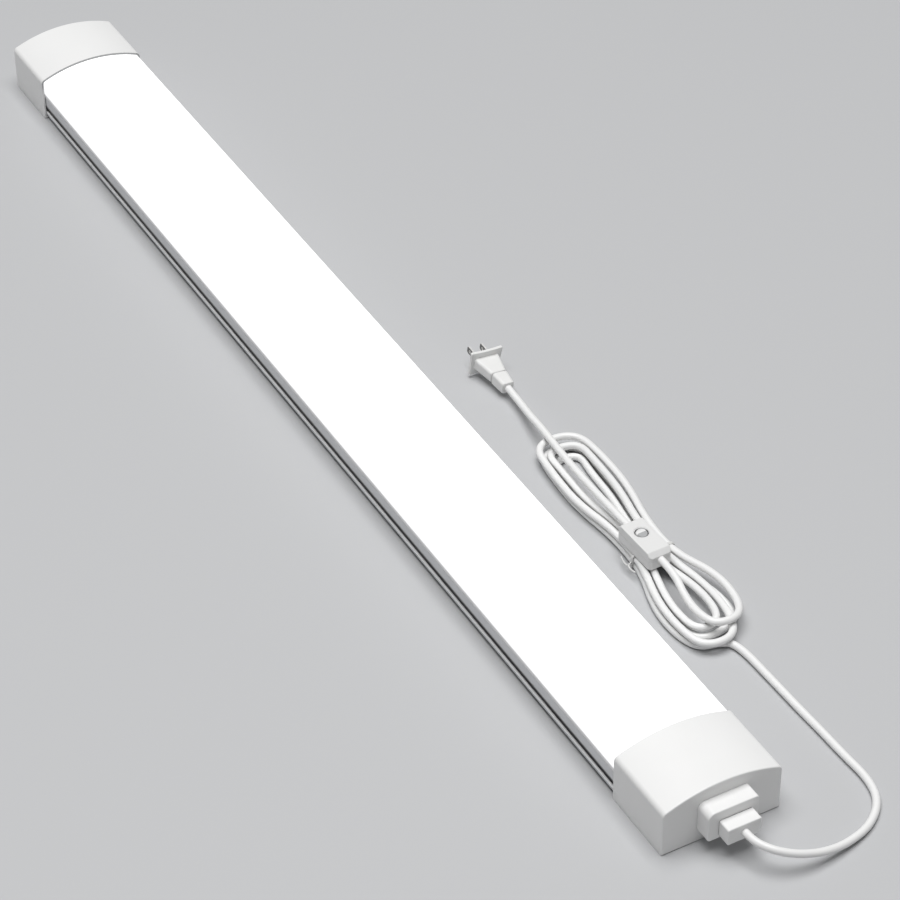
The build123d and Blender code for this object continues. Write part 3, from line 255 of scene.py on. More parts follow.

# Painted shade: this group turns ambient occlusion into a crease mask; each material mixes its crease
# colour in by it.
crease_shade, given, result = shader_group(
    "crease_shade", {"Reach": ("Float", CHANNEL_CREASE_REACH)}, {"Crease": "Float"}
)
openness = put(crease_shade, "AmbientOcclusion", {"Distance": given["Reach"]}, samples=CREASE_SAMPLES)
closed = put(crease_shade, "Math", {0: 1.0, 1: openness.outputs["AO"]}, operation="SUBTRACT")
deep = put(
    crease_shade,
    "MapRange",
    {"Value": closed.outputs[0], "From Min": CREASE_START, "From Max": CREASE_FULL},
    interpolation_type="SMOOTHSTEP",
)
crease_shade.links.new(deep.outputs["Result"], result["Crease"])

channel_material, tree = new_material("satin_channel")
lines = put(tree, "Group", {"Lines": CHANNEL_LINES}, node_tree=die_lines).outputs["Streak"]
crease_shading = put(tree, "Group", {"Reach": CHANNEL_CREASE_REACH}, node_tree=crease_shade).outputs["Crease"]
channel_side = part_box("base_extrusion")[1].y
off_middle = size_of(tree, place_on(tree, "Y"))
height = place_on(tree, "Z")
at_side = above(tree, off_middle, channel_side - GROOVE_BEAD, GROOVE_EDGE)
bead_low = GROOVE_LOW - GROOVE_BEAD
shade_top = GROOVE_TOP + GROOVE_SHADE
# Painted shade: the groove's inside and a band over its top edge are painted dark.
groove_shade = between(tree, height, bead_low, shade_top, GROOVE_EDGE, GROOVE_SHADE_FADE)
# Painted highlight: the outer edge of the groove's lower lip is painted bright and less metallic.
bead_highlight = both(tree, at_side, between(tree, height, bead_low, GROOVE_LOW + GROOVE_EDGE, GROOVE_EDGE))
bare = blend_colour(tree, lines, CHANNEL_COLOUR, CHANNEL_STREAK)
# Painted shade in the channel's creases.
shaded = blend_colour(tree, crease_shading, bare, CHANNEL_CREASE_SHADE)
groove_shaded = blend_colour(tree, groove_shade, shaded, GROOVE_SHADE_COLOUR)
surface(
    tree,
    Base_Color=blend_colour(tree, bead_highlight, groove_shaded, BEAD_HIGHLIGHT_COLOUR),
    Metallic=spread(tree, bead_highlight, 1.0, BEAD_METALLIC),
    Roughness=spread(tree, lines, *CHANNEL_ROUGHNESS),
    Normal=relief(tree, lines, CHANNEL_RELIEF),
)
dress(channel_material, "base_extrusion")


# The light source: a white sheet metal tray slides in the channel and carries two strips of LEDs.
# The strips are white boards with copper under the mask, screwed down between the chips.
TRAY_COLOUR = (0.84, 0.84, 0.83, 1)
TRAY_SPECK = (0.78, 0.78, 0.77, 1)
TRAY_SPECK_SCALE = 2600.0
TRAY_ROUGHNESS = 0.5
TRAY_RELIEF = 0.00005
BOARD_MASK = (0.82, 0.82, 0.80, 1)
BOARD_OVER_COPPER = (0.76, 0.76, 0.72, 1)
BOARD_POUR_WIDTH = 0.020
BOARD_POUR_HEIGHT = 0.006
BOARD_POUR_GAP = 0.0004
BOARD_ROUGHNESS = (0.42, 0.34)
BOARD_RELIEF = 0.00004
CHIP_FRAME = (0.85, 0.85, 0.82, 1)
CHIP_PHOSPHOR = (0.86, 0.62, 0.10, 1)
CHIP_PITCH = 0.020
CHIP_HALF = 0.00175
CHIP_WINDOW = 0.0011
CHIP_WINDOW_EDGE = 0.0003
CHIP_ROUGHNESS = (0.28, 0.5)
LED_SCREW_HEAD = 0.0024
LED_SCREW_SHANK = 0.0012
LED_SCREW_SINK = 0.0012
LED_SCREW_COLUMNS = 5
STEEL_COLOUR = (0.56, 0.565, 0.57, 1)
STEEL_RUBBED = (0.72, 0.72, 0.73, 1)
STEEL_SCRATCHES = 2400.0
STEEL_ROUGHNESS = (0.24, 0.42)
SCRATCH_SKEW = (1.0, 0.12, 0.5)
SCRATCH_DETAIL = 4.0
RUB_SCALE = 260.0
METAL_RELIEF = 0.00002
SCREW_SIDES = 40
SCREW_FACE_RINGS = 9
SCREW_SHARP = radians(35)
SCREW_RECESS = 0.62
SCREW_RECESS_DEPTH = 0.7
SCREW_RECESS_SLOPE = 2
SCREW_ARM = 0.17
SCREW_TIP = 0.3
SCREW_TIP_TAPER = 0.5
PAN_FACE = 0.74
PAN_EDGE = [(0.94, 0.25), (1.0, 0.6), (1.0, 1.0)]
THREAD_PITCH = 0.0008
THREAD_ROOT = 0.82
THREAD_CREST = 0.3
THREAD_VALLEY = 0.8

board_tracks, given, result = shader_group(
    "board_tracks",
    {"Pour Width": ("Float", BOARD_POUR_WIDTH), "Pour Height": ("Float", BOARD_POUR_HEIGHT)},
    {"Copper": "Float"},
)
pours = put(
    board_tracks,
    "TexBrick",
    {
        "Vector": put(board_tracks, "TexCoord").outputs["Object"],
        "Scale": 1.0,
        "Mortar Size": BOARD_POUR_GAP,
        "Brick Width": given["Pour Width"],
        "Row Height": given["Pour Height"],
    },
)
copper = put(board_tracks, "Math", {0: 1.0, 1: pours.outputs["Fac"]}, operation="SUBTRACT")
board_tracks.links.new(copper.outputs[0], result["Copper"])

rubbed_metal, given, result = shader_group(
    "rubbed_metal", {"Scratches": ("Float", STEEL_SCRATCHES)}, {"Rub": "Float", "Scratch": "Float"}
)
skewed = put(
    rubbed_metal,
    "VectorMath",
    {0: put(rubbed_metal, "TexCoord").outputs["Object"], 1: SCRATCH_SKEW},
    operation="MULTIPLY",
)
scratch = put(
    rubbed_metal,
    "TexNoise",
    {"Vector": skewed.outputs[0], "Scale": given["Scratches"], "Detail": SCRATCH_DETAIL},
)
rub = put(rubbed_metal, "TexNoise", {"Scale": RUB_SCALE})
rubbed_metal.links.new(rub.outputs["Fac"], result["Rub"])
rubbed_metal.links.new(scratch.outputs["Fac"], result["Scratch"])


def metal_material(name, dull, bright, scratches, roughness):
    """Plated or turned metal whose tone and gloss change where it has been rubbed."""
    material, tree = new_material(name)
    worn = put(tree, "Group", {"Scratches": scratches}, node_tree=rubbed_metal).outputs
    surface(
        tree,
        Base_Color=blend_colour(tree, worn["Rub"], dull, bright),
        Metallic=1.0,
        Roughness=spread(tree, worn["Scratch"], *roughness),
        Normal=relief(tree, worn["Scratch"], METAL_RELIEF),
    )
    return material


def cross_recess(x, y, reach):
    """How deep a cross recess is at a point of a screw's face, from 0 to 1."""
    arm = reach * SCREW_ARM / SCREW_RECESS
    inside = max(min(arm - abs(y), reach - abs(x)), min(arm - abs(x), reach - abs(y)))
    return min(max(SCREW_RECESS_SLOPE * inside / arm, 0), 1)


def add_ring(builder, radius, depth, place, downward, recess_reach=0, recess_depth=0):
    """One ring of a turned screw, at a depth below its face."""
    ring = []
    for side in range(SCREW_SIDES):
        x = radius * cos(2 * pi * side / SCREW_SIDES)
        y = radius * sin(2 * pi * side / SCREW_SIDES)
        sunk = depth
        if recess_depth:
            sunk += recess_depth * cross_recess(x, y, recess_reach)
        ring.append(builder.verts.new(place + Vector((x, y * downward, -sunk * downward))))
    return ring


def join_rings(builder, rings, capped=True):
    """Faces from each outline to the next, and over the first and the last."""
    for ring, after in zip(rings, rings[1:]):
        for index in range(len(ring)):
            beside = (index + 1) % len(ring)
            builder.faces.new((ring[index], ring[beside], after[beside], after[index]))
    if capped:
        builder.faces.new(reversed(rings[0]))
        builder.faces.new(rings[-1])


def add_screw(builder, place, downward, length, head, shank, sink, countersunk):
    """A cross recessed screw from its face down, or up where downward is -1."""
    face = head if countersunk else PAN_FACE * head
    reach = SCREW_RECESS * head
    rings = []
    for step in range(1, SCREW_FACE_RINGS + 1):
        radius = face * step / SCREW_FACE_RINGS
        rings.append(add_ring(builder, radius, 0, place, downward, reach, SCREW_RECESS_DEPTH * sink))
    outline = []
    if not countersunk:
        outline += [(head * radius, sink * depth) for radius, depth in PAN_EDGE]
    outline.append((shank, sink))
    threads = int((length - sink) / THREAD_PITCH) - 1
    for turn in range(threads):
        start = sink + turn * THREAD_PITCH
        outline.append((shank, start + THREAD_CREST * THREAD_PITCH))
        outline.append((shank * THREAD_ROOT, start + THREAD_VALLEY * THREAD_PITCH))
    outline.append((shank * THREAD_ROOT, length - SCREW_TIP_TAPER * THREAD_PITCH))
    outline.append((SCREW_TIP * shank, length))
    rings += [add_ring(builder, radius, depth, place, downward) for radius, depth in outline]
    join_rings(builder, rings)


def screw_set(node, body, columns, head, shank, sink, downward=1, countersunk=False, diagonal=False):
    """Detailed screws in place of a CAD node of like screws, which stand at the edges of its box."""
    low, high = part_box(node)
    face = high.z if downward > 0 else low.z
    xs = [low.x + head + (high.x - low.x - 2 * head) * step / (columns - 1) for step in range(columns)]
    places = [Vector((x, y, face)) for x in xs for y in (low.y + head, high.y - head)]
    if diagonal:
        places = [places[1], places[2]]
    builder = bmesh.new()
    for place in places:
        add_screw(builder, place, downward, high.z - low.z, head, shank, sink, countersunk)
    bmesh.ops.recalc_face_normals(builder, faces=builder.faces)
    piece = new_piece(node + "_cut", builder, steel_material)
    piece.data.set_sharp_from_angle(angle=SCREW_SHARP)
    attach(piece, body)
    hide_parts(node)
    return piece


tray_material, tree = new_material("tray_powder_coat")
speck = put(tree, "TexNoise", {"Scale": TRAY_SPECK_SCALE}).outputs["Fac"]
surface(
    tree,
    Base_Color=blend_colour(tree, speck, TRAY_COLOUR, TRAY_SPECK),
    Roughness=TRAY_ROUGHNESS,
    Normal=relief(tree, speck, TRAY_RELIEF),
)
dress(tray_material, "led_tray")

strip_material, tree = new_material("led_strip_mask")
tracks = put(
    tree,
    "Group",
    {"Pour Width": BOARD_POUR_WIDTH, "Pour Height": BOARD_POUR_HEIGHT},
    node_tree=board_tracks,
).outputs["Copper"]
surface(
    tree,
    Base_Color=blend_colour(tree, tracks, BOARD_MASK, BOARD_OVER_COPPER),
    Roughness=spread(tree, tracks, *BOARD_ROUGHNESS),
    Normal=relief(tree, tracks, BOARD_RELIEF),
)
dress(strip_material, "led_board_left", "led_board_right")

chip_material, tree = new_material("led_phosphor")
low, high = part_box("led_chips")
from_first = put(tree, "Math", {0: place_on(tree, "X"), 1: low.x + CHIP_HALF}, operation="SUBTRACT")
in_pitch = put(tree, "Math", {0: from_first.outputs[0], 1: CHIP_PITCH}, operation="PINGPONG")
window = put(
    tree,
    "MapRange",
    {
        "Value": in_pitch.outputs[0],
        "From Min": CHIP_WINDOW,
        "From Max": CHIP_WINDOW + CHIP_WINDOW_EDGE,
    },
    interpolation_type="SMOOTHSTEP",
).outputs["Result"]
surface(
    tree,
    Base_Color=blend_colour(tree, window, CHIP_PHOSPHOR, CHIP_FRAME),
    Roughness=spread(tree, window, *CHIP_ROUGHNESS),
)
dress(chip_material, "led_chips")

steel_material = metal_material(
    "zinc_steel", STEEL_COLOUR, STEEL_RUBBED, STEEL_SCRATCHES, STEEL_ROUGHNESS
)
screw_set(
    "led_board_screws", "lamp", LED_SCREW_COLUMNS, LED_SCREW_HEAD, LED_SCREW_SHANK, LED_SCREW_SINK
)


# The driver: a green board on bosses in the cord end cap, with its transformer, capacitors and choke.
# Wire goes in from the inlet pins and out to the two LED strips; all of it is closed in by the cap.
DRIVER_MASK = (0.035, 0.16, 0.075, 1)
DRIVER_COPPER = (0.07, 0.27, 0.12, 1)
DRIVER_POUR_WIDTH = 0.011
DRIVER_POUR_HEIGHT = 0.0042
DRIVER_ROUGHNESS = (0.36, 0.26)
FLECK_DETAIL = 3.0
FERRITE_COLOUR = (0.045, 0.045, 0.048, 1)
FERRITE_SPECK = (0.075, 0.075, 0.078, 1)
FERRITE_GRIT = 1800.0
FERRITE_RELIEF = 0.00005
FERRITE_ROUGHNESS = 0.62
TAPE_COLOUR = (0.72, 0.52, 0.07, 1)
TAPE_ROUGHNESS = 0.3
TAPE_HALF_WIDTH = 0.0066
SHARP_EDGE = 0.0001
SLEEVE_COLOUR = (0.022, 0.028, 0.07, 1)
SLEEVE_FLECK = 500.0
SLEEVE_ROUGHNESS = (0.22, 0.36)
CAN_TOP_COLOUR = (0.60, 0.61, 0.62, 1)
CAN_TOP_DEPTH = 0.0006
ENAMEL_DARK = (0.30, 0.10, 0.035, 1)
ENAMEL_BRIGHT = (0.56, 0.24, 0.09, 1)
ENAMEL_TURNS = 1100.0
ENAMEL_WANDER = 0.6
ENAMEL_METALLIC = 0.6
ENAMEL_ROUGHNESS = (0.38, 0.24)
ENAMEL_RELIEF = 0.0001
TERMINAL_COLOUR = (0.05, 0.21, 0.10, 1)
TERMINAL_LIGHT = (0.07, 0.26, 0.13, 1)
TERMINAL_GRIT = 1200.0
TERMINAL_ROUGHNESS = 0.45
TERMINAL_RELIEF = 0.00003
WIRE_DARK = (0.022, 0.022, 0.024, 1)
WIRE_WHITE = (0.80, 0.80, 0.78, 1)
WIRE_RED = (0.42, 0.022, 0.02, 1)
WIRE_FLECK = 700.0
WIRE_ROUGHNESS = (0.32, 0.46)
LED_WIRE_SPLIT = 0.0035
DRIVER_SCREW_COLUMNS = 2
DRIVER_SCREW_HEAD = 0.0022
DRIVER_SCREW_SHANK = 0.0012
DRIVER_SCREW_SINK = 0.0012


def fleck(tree, scale):
    """An even fine noise over the piece."""
    place = put(tree, "TexCoord").outputs["Object"]
    noise = put(tree, "TexNoise", {"Vector": place, "Scale": scale, "Detail": FLECK_DETAIL})
    return noise.outputs["Fac"]


driver_material, tree = new_material("driver_mask")
tracks = put(
    tree,
    "Group",
    {"Pour Width": DRIVER_POUR_WIDTH, "Pour Height": DRIVER_POUR_HEIGHT},
    node_tree=board_tracks,
).outputs["Copper"]
surface(
    tree,
    Base_Color=blend_colour(tree, tracks, DRIVER_MASK, DRIVER_COPPER),
    Roughness=spread(tree, tracks, *DRIVER_ROUGHNESS),
    Normal=relief(tree, tracks, BOARD_RELIEF),
)
dress(driver_material, "driver_board")

core_material, tree = new_material("taped_ferrite")
low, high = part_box("driver_transformer")
coil_middle = (low.y + high.y) / 2
taped = between(
    tree,
    place_on(tree, "Y"),
    coil_middle - TAPE_HALF_WIDTH,
    coil_middle + TAPE_HALF_WIDTH,
    SHARP_EDGE,
)
grit = fleck(tree, FERRITE_GRIT)
ferrite = blend_colour(tree, grit, FERRITE_COLOUR, FERRITE_SPECK)
surface(
    tree,
    Base_Color=blend_colour(tree, taped, ferrite, TAPE_COLOUR),
    Roughness=spread(tree, taped, FERRITE_ROUGHNESS, TAPE_ROUGHNESS),
    Normal=relief(tree, grit, FERRITE_RELIEF),
)
dress(core_material, "driver_transformer")

can_material, tree = new_material("capacitor_sleeve")
low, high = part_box("driver_capacitors")
bare_top = above(tree, place_on(tree, "Z"), high.z - CAN_TOP_DEPTH, SHARP_EDGE)
surface(
    tree,
    Base_Color=blend_colour(tree, bare_top, SLEEVE_COLOUR, CAN_TOP_COLOUR),
    Metallic=bare_top,
    Roughness=spread(tree, fleck(tree, SLEEVE_FLECK), *SLEEVE_ROUGHNESS),
)
dress(can_material, "driver_capacitors")

choke_material, tree = new_material("enamelled_wire")
turns = put(
    tree,
    "TexWave",
    {
        "Vector": put(tree, "TexCoord").outputs["Object"],
        "Scale": ENAMEL_TURNS,
        "Distortion": ENAMEL_WANDER,
    },
    bands_direction="Z",
).outputs["Fac"]
surface(
    tree,
    Base_Color=blend_colour(tree, turns, ENAMEL_DARK, ENAMEL_BRIGHT),
    Metallic=ENAMEL_METALLIC,
    Roughness=spread(tree, turns, *ENAMEL_ROUGHNESS),
    Normal=relief(tree, turns, ENAMEL_RELIEF),
)
dress(choke_material, "driver_choke")

terminal_material, tree = new_material("terminal_moulding")
grit = fleck(tree, TERMINAL_GRIT)
surface(
    tree,
    Base_Color=blend_colour(tree, grit, TERMINAL_COLOUR, TERMINAL_LIGHT),
    Roughness=TERMINAL_ROUGHNESS,
    Normal=relief(tree, grit, TERMINAL_RELIEF),
)
dress(terminal_material, "driver_terminals")

supply_material, tree = new_material("supply_insulation")
low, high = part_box("supply_wires")
neutral = above(tree, place_on(tree, "Y"), (low.y + high.y) / 2, SHARP_EDGE)
surface(
    tree,
    Base_Color=blend_colour(tree, neutral, WIRE_DARK, WIRE_WHITE),
    Roughness=spread(tree, fleck(tree, WIRE_FLECK), *WIRE_ROUGHNESS),
)
dress(supply_material, "supply_wires")

led_wire_material, tree = new_material("led_wire_insulation")
low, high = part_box("led_wires")
outer_wire = above(tree, size_of(tree, place_on(tree, "Y")), high.y - LED_WIRE_SPLIT, SHARP_EDGE)
surface(
    tree,
    Base_Color=blend_colour(tree, outer_wire, WIRE_DARK, WIRE_RED),
    Roughness=spread(tree, fleck(tree, WIRE_FLECK), *WIRE_ROUGHNESS),
)
dress(led_wire_material, "led_wires")
screw_set(
    "driver_screws",
    "lamp",
    DRIVER_SCREW_COLUMNS,
    DRIVER_SCREW_HEAD,
    DRIVER_SCREW_SHANK,
    DRIVER_SCREW_SINK,
)


# The diffuser: an opal polycarbonate extrusion that slides along under the channel's lips.
# It is lit from inside, evenly white over the crown. Its foot stands in the channel and stays grey.
OPAL_COLOUR = (0.72, 0.72, 0.72, 1)
OPAL_STREAK = (0.76, 0.76, 0.76, 1)
OPAL_GLOW = (1.0, 1.0, 1.0, 1)
OPAL_GLOW_LOW = (0.86, 0.865, 0.87, 1)
OPAL_GLOW_STRENGTH = 0.85
OPAL_LINES = 420.0
OPAL_ROUGHNESS = (0.34, 0.44)
OPAL_RELIEF = 0.00003
OPAL_LIT_HEIGHT = 0.034
OPAL_LIT_FADE = 0.010
OPAL_GLOW_FOOT = (0.10, 0.102, 0.105, 1)
OPAL_FOOT_HEIGHT = 0.0278
OPAL_FOOT_FADE = 0.0010

opal_material, tree = new_material("opal_cover")
lines = put(tree, "Group", {"Lines": OPAL_LINES}, node_tree=die_lines).outputs["Streak"]
lit = above(tree, place_on(tree, "Z"), OPAL_LIT_HEIGHT, OPAL_LIT_FADE)
over_foot = above(tree, place_on(tree, "Z"), OPAL_FOOT_HEIGHT, OPAL_FOOT_FADE)
glow = blend_colour(tree, lit, OPAL_GLOW_LOW, OPAL_GLOW)
surface(
    tree,
    Base_Color=blend_colour(tree, lines, OPAL_COLOUR, OPAL_STREAK),
    Roughness=spread(tree, lines, *OPAL_ROUGHNESS),
    Emission_Color=blend_colour(tree, over_foot, OPAL_GLOW_FOOT, glow),
    Emission_Strength=OPAL_GLOW_STRENGTH,
    Normal=relief(tree, lines, OPAL_RELIEF),
)
dress(opal_material, "diffuser")


# The end caps: white moulded shells, each sleeved over the lamp body against a grey rubber ring.
# Countersunk screws hold them from the back; their faces have the fine even grain of the mould.
# Painted shade: the crease colour darkens the caps' creases.
CAP_FINISH = {
    "Colour": (0.86, 0.86, 0.855, 1),
    "Crease Shade Colour": (0.46, 0.465, 0.47, 1),
    "Crease Reach": 0.004,
    "Roughness": 0.34,
    "Grain": 1500.0,
}
CAP_RELIEF = 0.00006
# Painted shade: a grey line on each cap's rim step, over the crown, where shade falls at the joint.
CAP_RIM_SHADE_COLOUR = (0.32, 0.325, 0.33, 1)
CAP_RIM_DEPTH = 0.0004
CAP_RIM_EDGE = 0.0001
CAP_RIM_LOW = 0.030
CAP_RIM_FADE = 0.006
RUBBER_COLOUR = (0.24, 0.24, 0.24, 1)
RUBBER_BLOOM = (0.31, 0.31, 0.31, 1)
RUBBER_BLOOM_SCALE = 240.0
RUBBER_ROUGHNESS = (0.6, 0.75)
RUBBER_RELIEF = 0.0001
FLOW_SCALE = 16.0
FLOW_TONE = (0.97, 1.02)
FLOW_GLOSS = (-0.06, 0.06)
CAP_SCREW_COLUMNS = 2
CAP_SCREW_HEAD = 0.00275
CAP_SCREW_SHANK = 0.00145
CAP_SCREW_SINK = 0.00135

# The skin: the mould's grain and random tone, plus painted shade that darkens creases and joints to the
# crease colour.
skin_and_crease_shade, given, result = shader_group(
    "skin_and_crease_shade",
    {
        "Colour": ("Color", CAP_FINISH["Colour"]),
        "Crease Shade Colour": ("Color", CAP_FINISH["Crease Shade Colour"]),
        "Crease Reach": ("Float", CAP_FINISH["Crease Reach"]),
        "Roughness": ("Float", CAP_FINISH["Roughness"]),
        "Grain": ("Float", CAP_FINISH["Grain"]),
    },
    {"Colour": "Color", "Roughness": "Float", "Height": "Float"},
)
grain = fleck(skin_and_crease_shade, given["Grain"])
flow = fleck(skin_and_crease_shade, FLOW_SCALE)
flow_tone = spread(skin_and_crease_shade, flow, *FLOW_TONE)
toned = put(skin_and_crease_shade, "VectorMath", {0: given["Colour"]}, operation="SCALE")
skin_and_crease_shade.links.new(flow_tone, toned.inputs["Scale"])
crease_shading = put(skin_and_crease_shade, "Group", {"Reach": given["Crease Reach"]}, node_tree=crease_shade)
skin_colour = blend_colour(
    skin_and_crease_shade, crease_shading.outputs["Crease"], toned.outputs["Vector"], given["Crease Shade Colour"]
)
flow_gloss = spread(skin_and_crease_shade, flow, *FLOW_GLOSS)
gloss = put(skin_and_crease_shade, "Math", {0: given["Roughness"], 1: flow_gloss}, operation="ADD")
skin_and_crease_shade.links.new(skin_colour, result["Colour"])
skin_and_crease_shade.links.new(gloss.outputs[0], result["Roughness"])
skin_and_crease_shade.links.new(grain, result["Height"])

cap_material, tree = new_material("cap_moulding")
skin = put(tree, "Group", CAP_FINISH, node_tree=skin_and_crease_shade).outputs
cord_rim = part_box("end_cap_cord")[0].x
blank_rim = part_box("end_cap_blank")[1].x
off_middle = put(
    tree, "Math", {0: place_on(tree, "X"), 1: (cord_rim + blank_rim) / 2}, operation="SUBTRACT"
).outputs[0]
rim_reach = (cord_rim - blank_rim) / 2
# Painted shade on the rim step.
rim_shade = between(
    tree,
    size_of(tree, off_middle),
    rim_reach - CAP_RIM_DEPTH,
    rim_reach + CAP_RIM_DEPTH,
    CAP_RIM_EDGE,
)
over_crown = above(tree, place_on(tree, "Z"), CAP_RIM_LOW, CAP_RIM_FADE)
surface(
    tree,
    Base_Color=blend_colour(tree, both(tree, rim_shade, over_crown), skin["Colour"], CAP_RIM_SHADE_COLOUR),
    Roughness=skin["Roughness"],
    Normal=relief(tree, skin["Height"], CAP_RELIEF),
)
dress(cap_material, "end_cap_cord", "end_cap_blank")

rubber_material, tree = new_material("seal_rubber")
bloom = fleck(tree, RUBBER_BLOOM_SCALE)
surface(
    tree,
    Base_Color=blend_colour(tree, bloom, RUBBER_COLOUR, RUBBER_BLOOM),
    Roughness=spread(tree, bloom, *RUBBER_ROUGHNESS),
    Normal=relief(tree, bloom, RUBBER_RELIEF),
)
dress(rubber_material, "end_seal_cord", "end_seal_blank")
screw_set(
    "end_cap_screws",
    "lamp",
    CAP_SCREW_COLUMNS,
    CAP_SCREW_HEAD,
    CAP_SCREW_SHANK,
    CAP_SCREW_SINK,
    downward=-1,
    countersunk=True,
)


# The inlet: a white moulded socket snapped through the end wall over a thin rubber gasket.
# Two plated brass pins stand in its pocket, which the cord's connector fills.
INLET_FINISH = {
    "Colour": (0.87, 0.87, 0.865, 1),
    "Crease Shade Colour": (0.40, 0.405, 0.41, 1),
    "Crease Reach": 0.003,
    "Roughness": 0.30,
    "Grain": 1900.0,
}
INLET_RELIEF = 0.00002
BRASS_DULL = (0.55, 0.42, 0.17, 1)
BRASS_BRIGHT = (0.72, 0.58, 0.28, 1)
BRASS_SCRATCHES = 1800.0
BRASS_ROUGHNESS = (0.2, 0.36)


def moulded_material(name, finish, depth):
    """A moulded plastic with the grain of its mould, and painted shade where its faces close in on each
    other.
    """
    material, tree = new_material(name)
    skin = put(tree, "Group", finish, node_tree=skin_and_crease_shade).outputs
    surface(
        tree,
        Base_Color=skin["Colour"],
        Roughness=skin["Roughness"],
        Normal=relief(tree, skin["Height"], depth),
    )
    return material


inlet_material = moulded_material("inlet_moulding", INLET_FINISH, INLET_RELIEF)
dress(inlet_material, "inlet_socket")
dress(rubber_material, "inlet_gasket")
brass_material = metal_material(
    "plated_brass", BRASS_DULL, BRASS_BRIGHT, BRASS_SCRATCHES, BRASS_ROUGHNESS
)
dress(brass_material, "inlet_pins")


# The connector: a white block moulded onto the end of the cord, with two brass sleeves in its nose.
# It pulls straight out of the inlet and takes the whole cord with it.
dress(inlet_material, "cord_connector")
dress(brass_material, "connector_contacts")


# The lamp's cord: 2.7 m of round white PVC flex, moulded into the connector.
# It drops in a loop to the floor, runs to a tied hank of two layers, and goes over it to the switch.
CORD_FINISH = {
    "Colour": (0.87, 0.87, 0.865, 1),
    "Crease Shade Colour": (0.50, 0.50, 0.495, 1),
    "Crease Reach": 0.005,
    "Roughness": 0.36,
    "Grain": 850.0,
}
CORD_RELIEF = 0.00006
CORD_DIAMETER = 0.0064
CORD_ROUNDNESS = 6
CORD_SMOOTHNESS = 10
LAMP_ROUTE = [
    (0.6198, 0.0020, 0.0232),
    (0.6300, 0.0020, 0.0232),
    (0.6422, 0.0087, 0.0222),
    (0.6500, 0.0192, 0.0194),
    (0.6543, 0.0327, 0.0152),
    (0.6555, 0.0509, 0.0096),
    (0.6527, 0.0724, 0.0052),
    (0.6445, 0.0980, 0.0033),
    (0.6267, 0.1181, 0.0032),
    (0.6030, 0.1245, 0.0032),
    (0.5750, 0.1230, 0.0032),
    (0.5450, 0.1228, 0.0032),
    (0.5150, 0.1218, 0.0032),
]
HANK_MIDDLE = Vector((0.296, 0.1145, 0))
HANK_TILT = -2.5
HANK_REVERSAL = 1.625
HANK_CLIMB = 0.25
HANK_EIGHTHS = 29
HANK_INNER_LANE = 0.375
HANK_LAYER = 0.0070
HANK_WAIST_STEP = 0.00695
HANK_WAIST_LIFT = 0.0010
HANK_NEAR_WIDEST = 0.090
HANK_NEAR_SHIFT = -0.0005
HANK_NEAR_SIDE = 0.0095
HANK_NEAR_SIDE_STEP = 0.0080
HANK_NEAR_END = 0.0985
HANK_NEAR_END_STEP = 0.020
HANK_NEAR_END_SHIFT = -0.003
HANK_NEAR_END_TUCK = 0.006
HANK_FAR_WIDEST = 0.092
HANK_FAR_SIDE = 0.0060
HANK_FAR_SIDE_STEP = 0.0086
HANK_FAR_END = 0.124
HANK_FAR_END_STEP = 0.0135
HANK_LOWER_BULGE = (0.006, 0.009)
HANK_ENTRY = (0.1545, 0.0132)
HANK_ENTRY_HEADING = 183.4
HANK_ENTRY_RUN = 0.030
HANK_ENTRY_LEAD = 0.014
HANK_ENTRY_BEND = (0.1245, -0.006, 263.0)
HANK_TOP_LOOP = [(0.084, 0.0335, 0.0130, 0), (0.119, 0.009, 0.0175, 270), (0.094, -0.006, 0.0175, 180)]
SWITCH_MIDDLE = Vector((0.309, 0.1083, 0.0234))
SWITCH_HEADING = radians(1.5)
SWITCH_LENGTH = 0.048
STRAIGHT = 1e-9


def hank_point(along, across, height):
    """A place given along the hank, across it and above the floor."""
    turn = Matrix.Rotation(radians(HANK_TILT), 3, "Z")
    return HANK_MIDDLE + turn @ Vector((along, across, height))


def hank_heading(degrees):
    """A direction over the floor, turned from the line of the hank."""
    angle = radians(degrees + HANK_TILT)
    return Vector((cos(angle), sin(angle), 0))


def hank_station(eighths):
    """Where the cord is after so many eighths of a turn, and which way it heads there."""
    turns = eighths / 8
    lane = HANK_INNER_LANE + abs(turns - HANK_REVERSAL)
    layer = min(max((turns - HANK_REVERSAL) / HANK_CLIMB + 0.5, 0), 1)
    near_side = HANK_NEAR_SIDE + lane * HANK_NEAR_SIDE_STEP
    near_end = HANK_NEAR_END + lane * HANK_NEAR_END_STEP - (1 - layer) * HANK_NEAR_END_TUCK
    far_side = HANK_FAR_SIDE + lane * HANK_FAR_SIDE_STEP
    far_end = HANK_FAR_END + lane * HANK_FAR_END_STEP
    waist = lane * HANK_WAIST_STEP
    bulge_along, bulge_across = [(1 - layer) * size for size in HANK_LOWER_BULGE]
    along, across, lift, heading = [
        (HANK_NEAR_WIDEST, HANK_NEAR_SHIFT - near_side, 0, 180),
        (0, -waist, HANK_WAIST_LIFT, 180),
        (-HANK_FAR_WIDEST, -far_side, 0, 180),
        (-far_end, 0, 0, 90),
        (-HANK_FAR_WIDEST, far_side, 0, 0),
        (0, waist, HANK_WAIST_LIFT, 0),
        (HANK_NEAR_WIDEST + bulge_along, HANK_NEAR_SHIFT + near_side + bulge_across, 0, 0),
        (near_end, HANK_NEAR_END_SHIFT, 0, 270),
    ][eighths % 8]
    height = CORD_DIAMETER / 2 + layer * HANK_LAYER + lift
    return hank_point(along, across, height), hank_heading(heading)


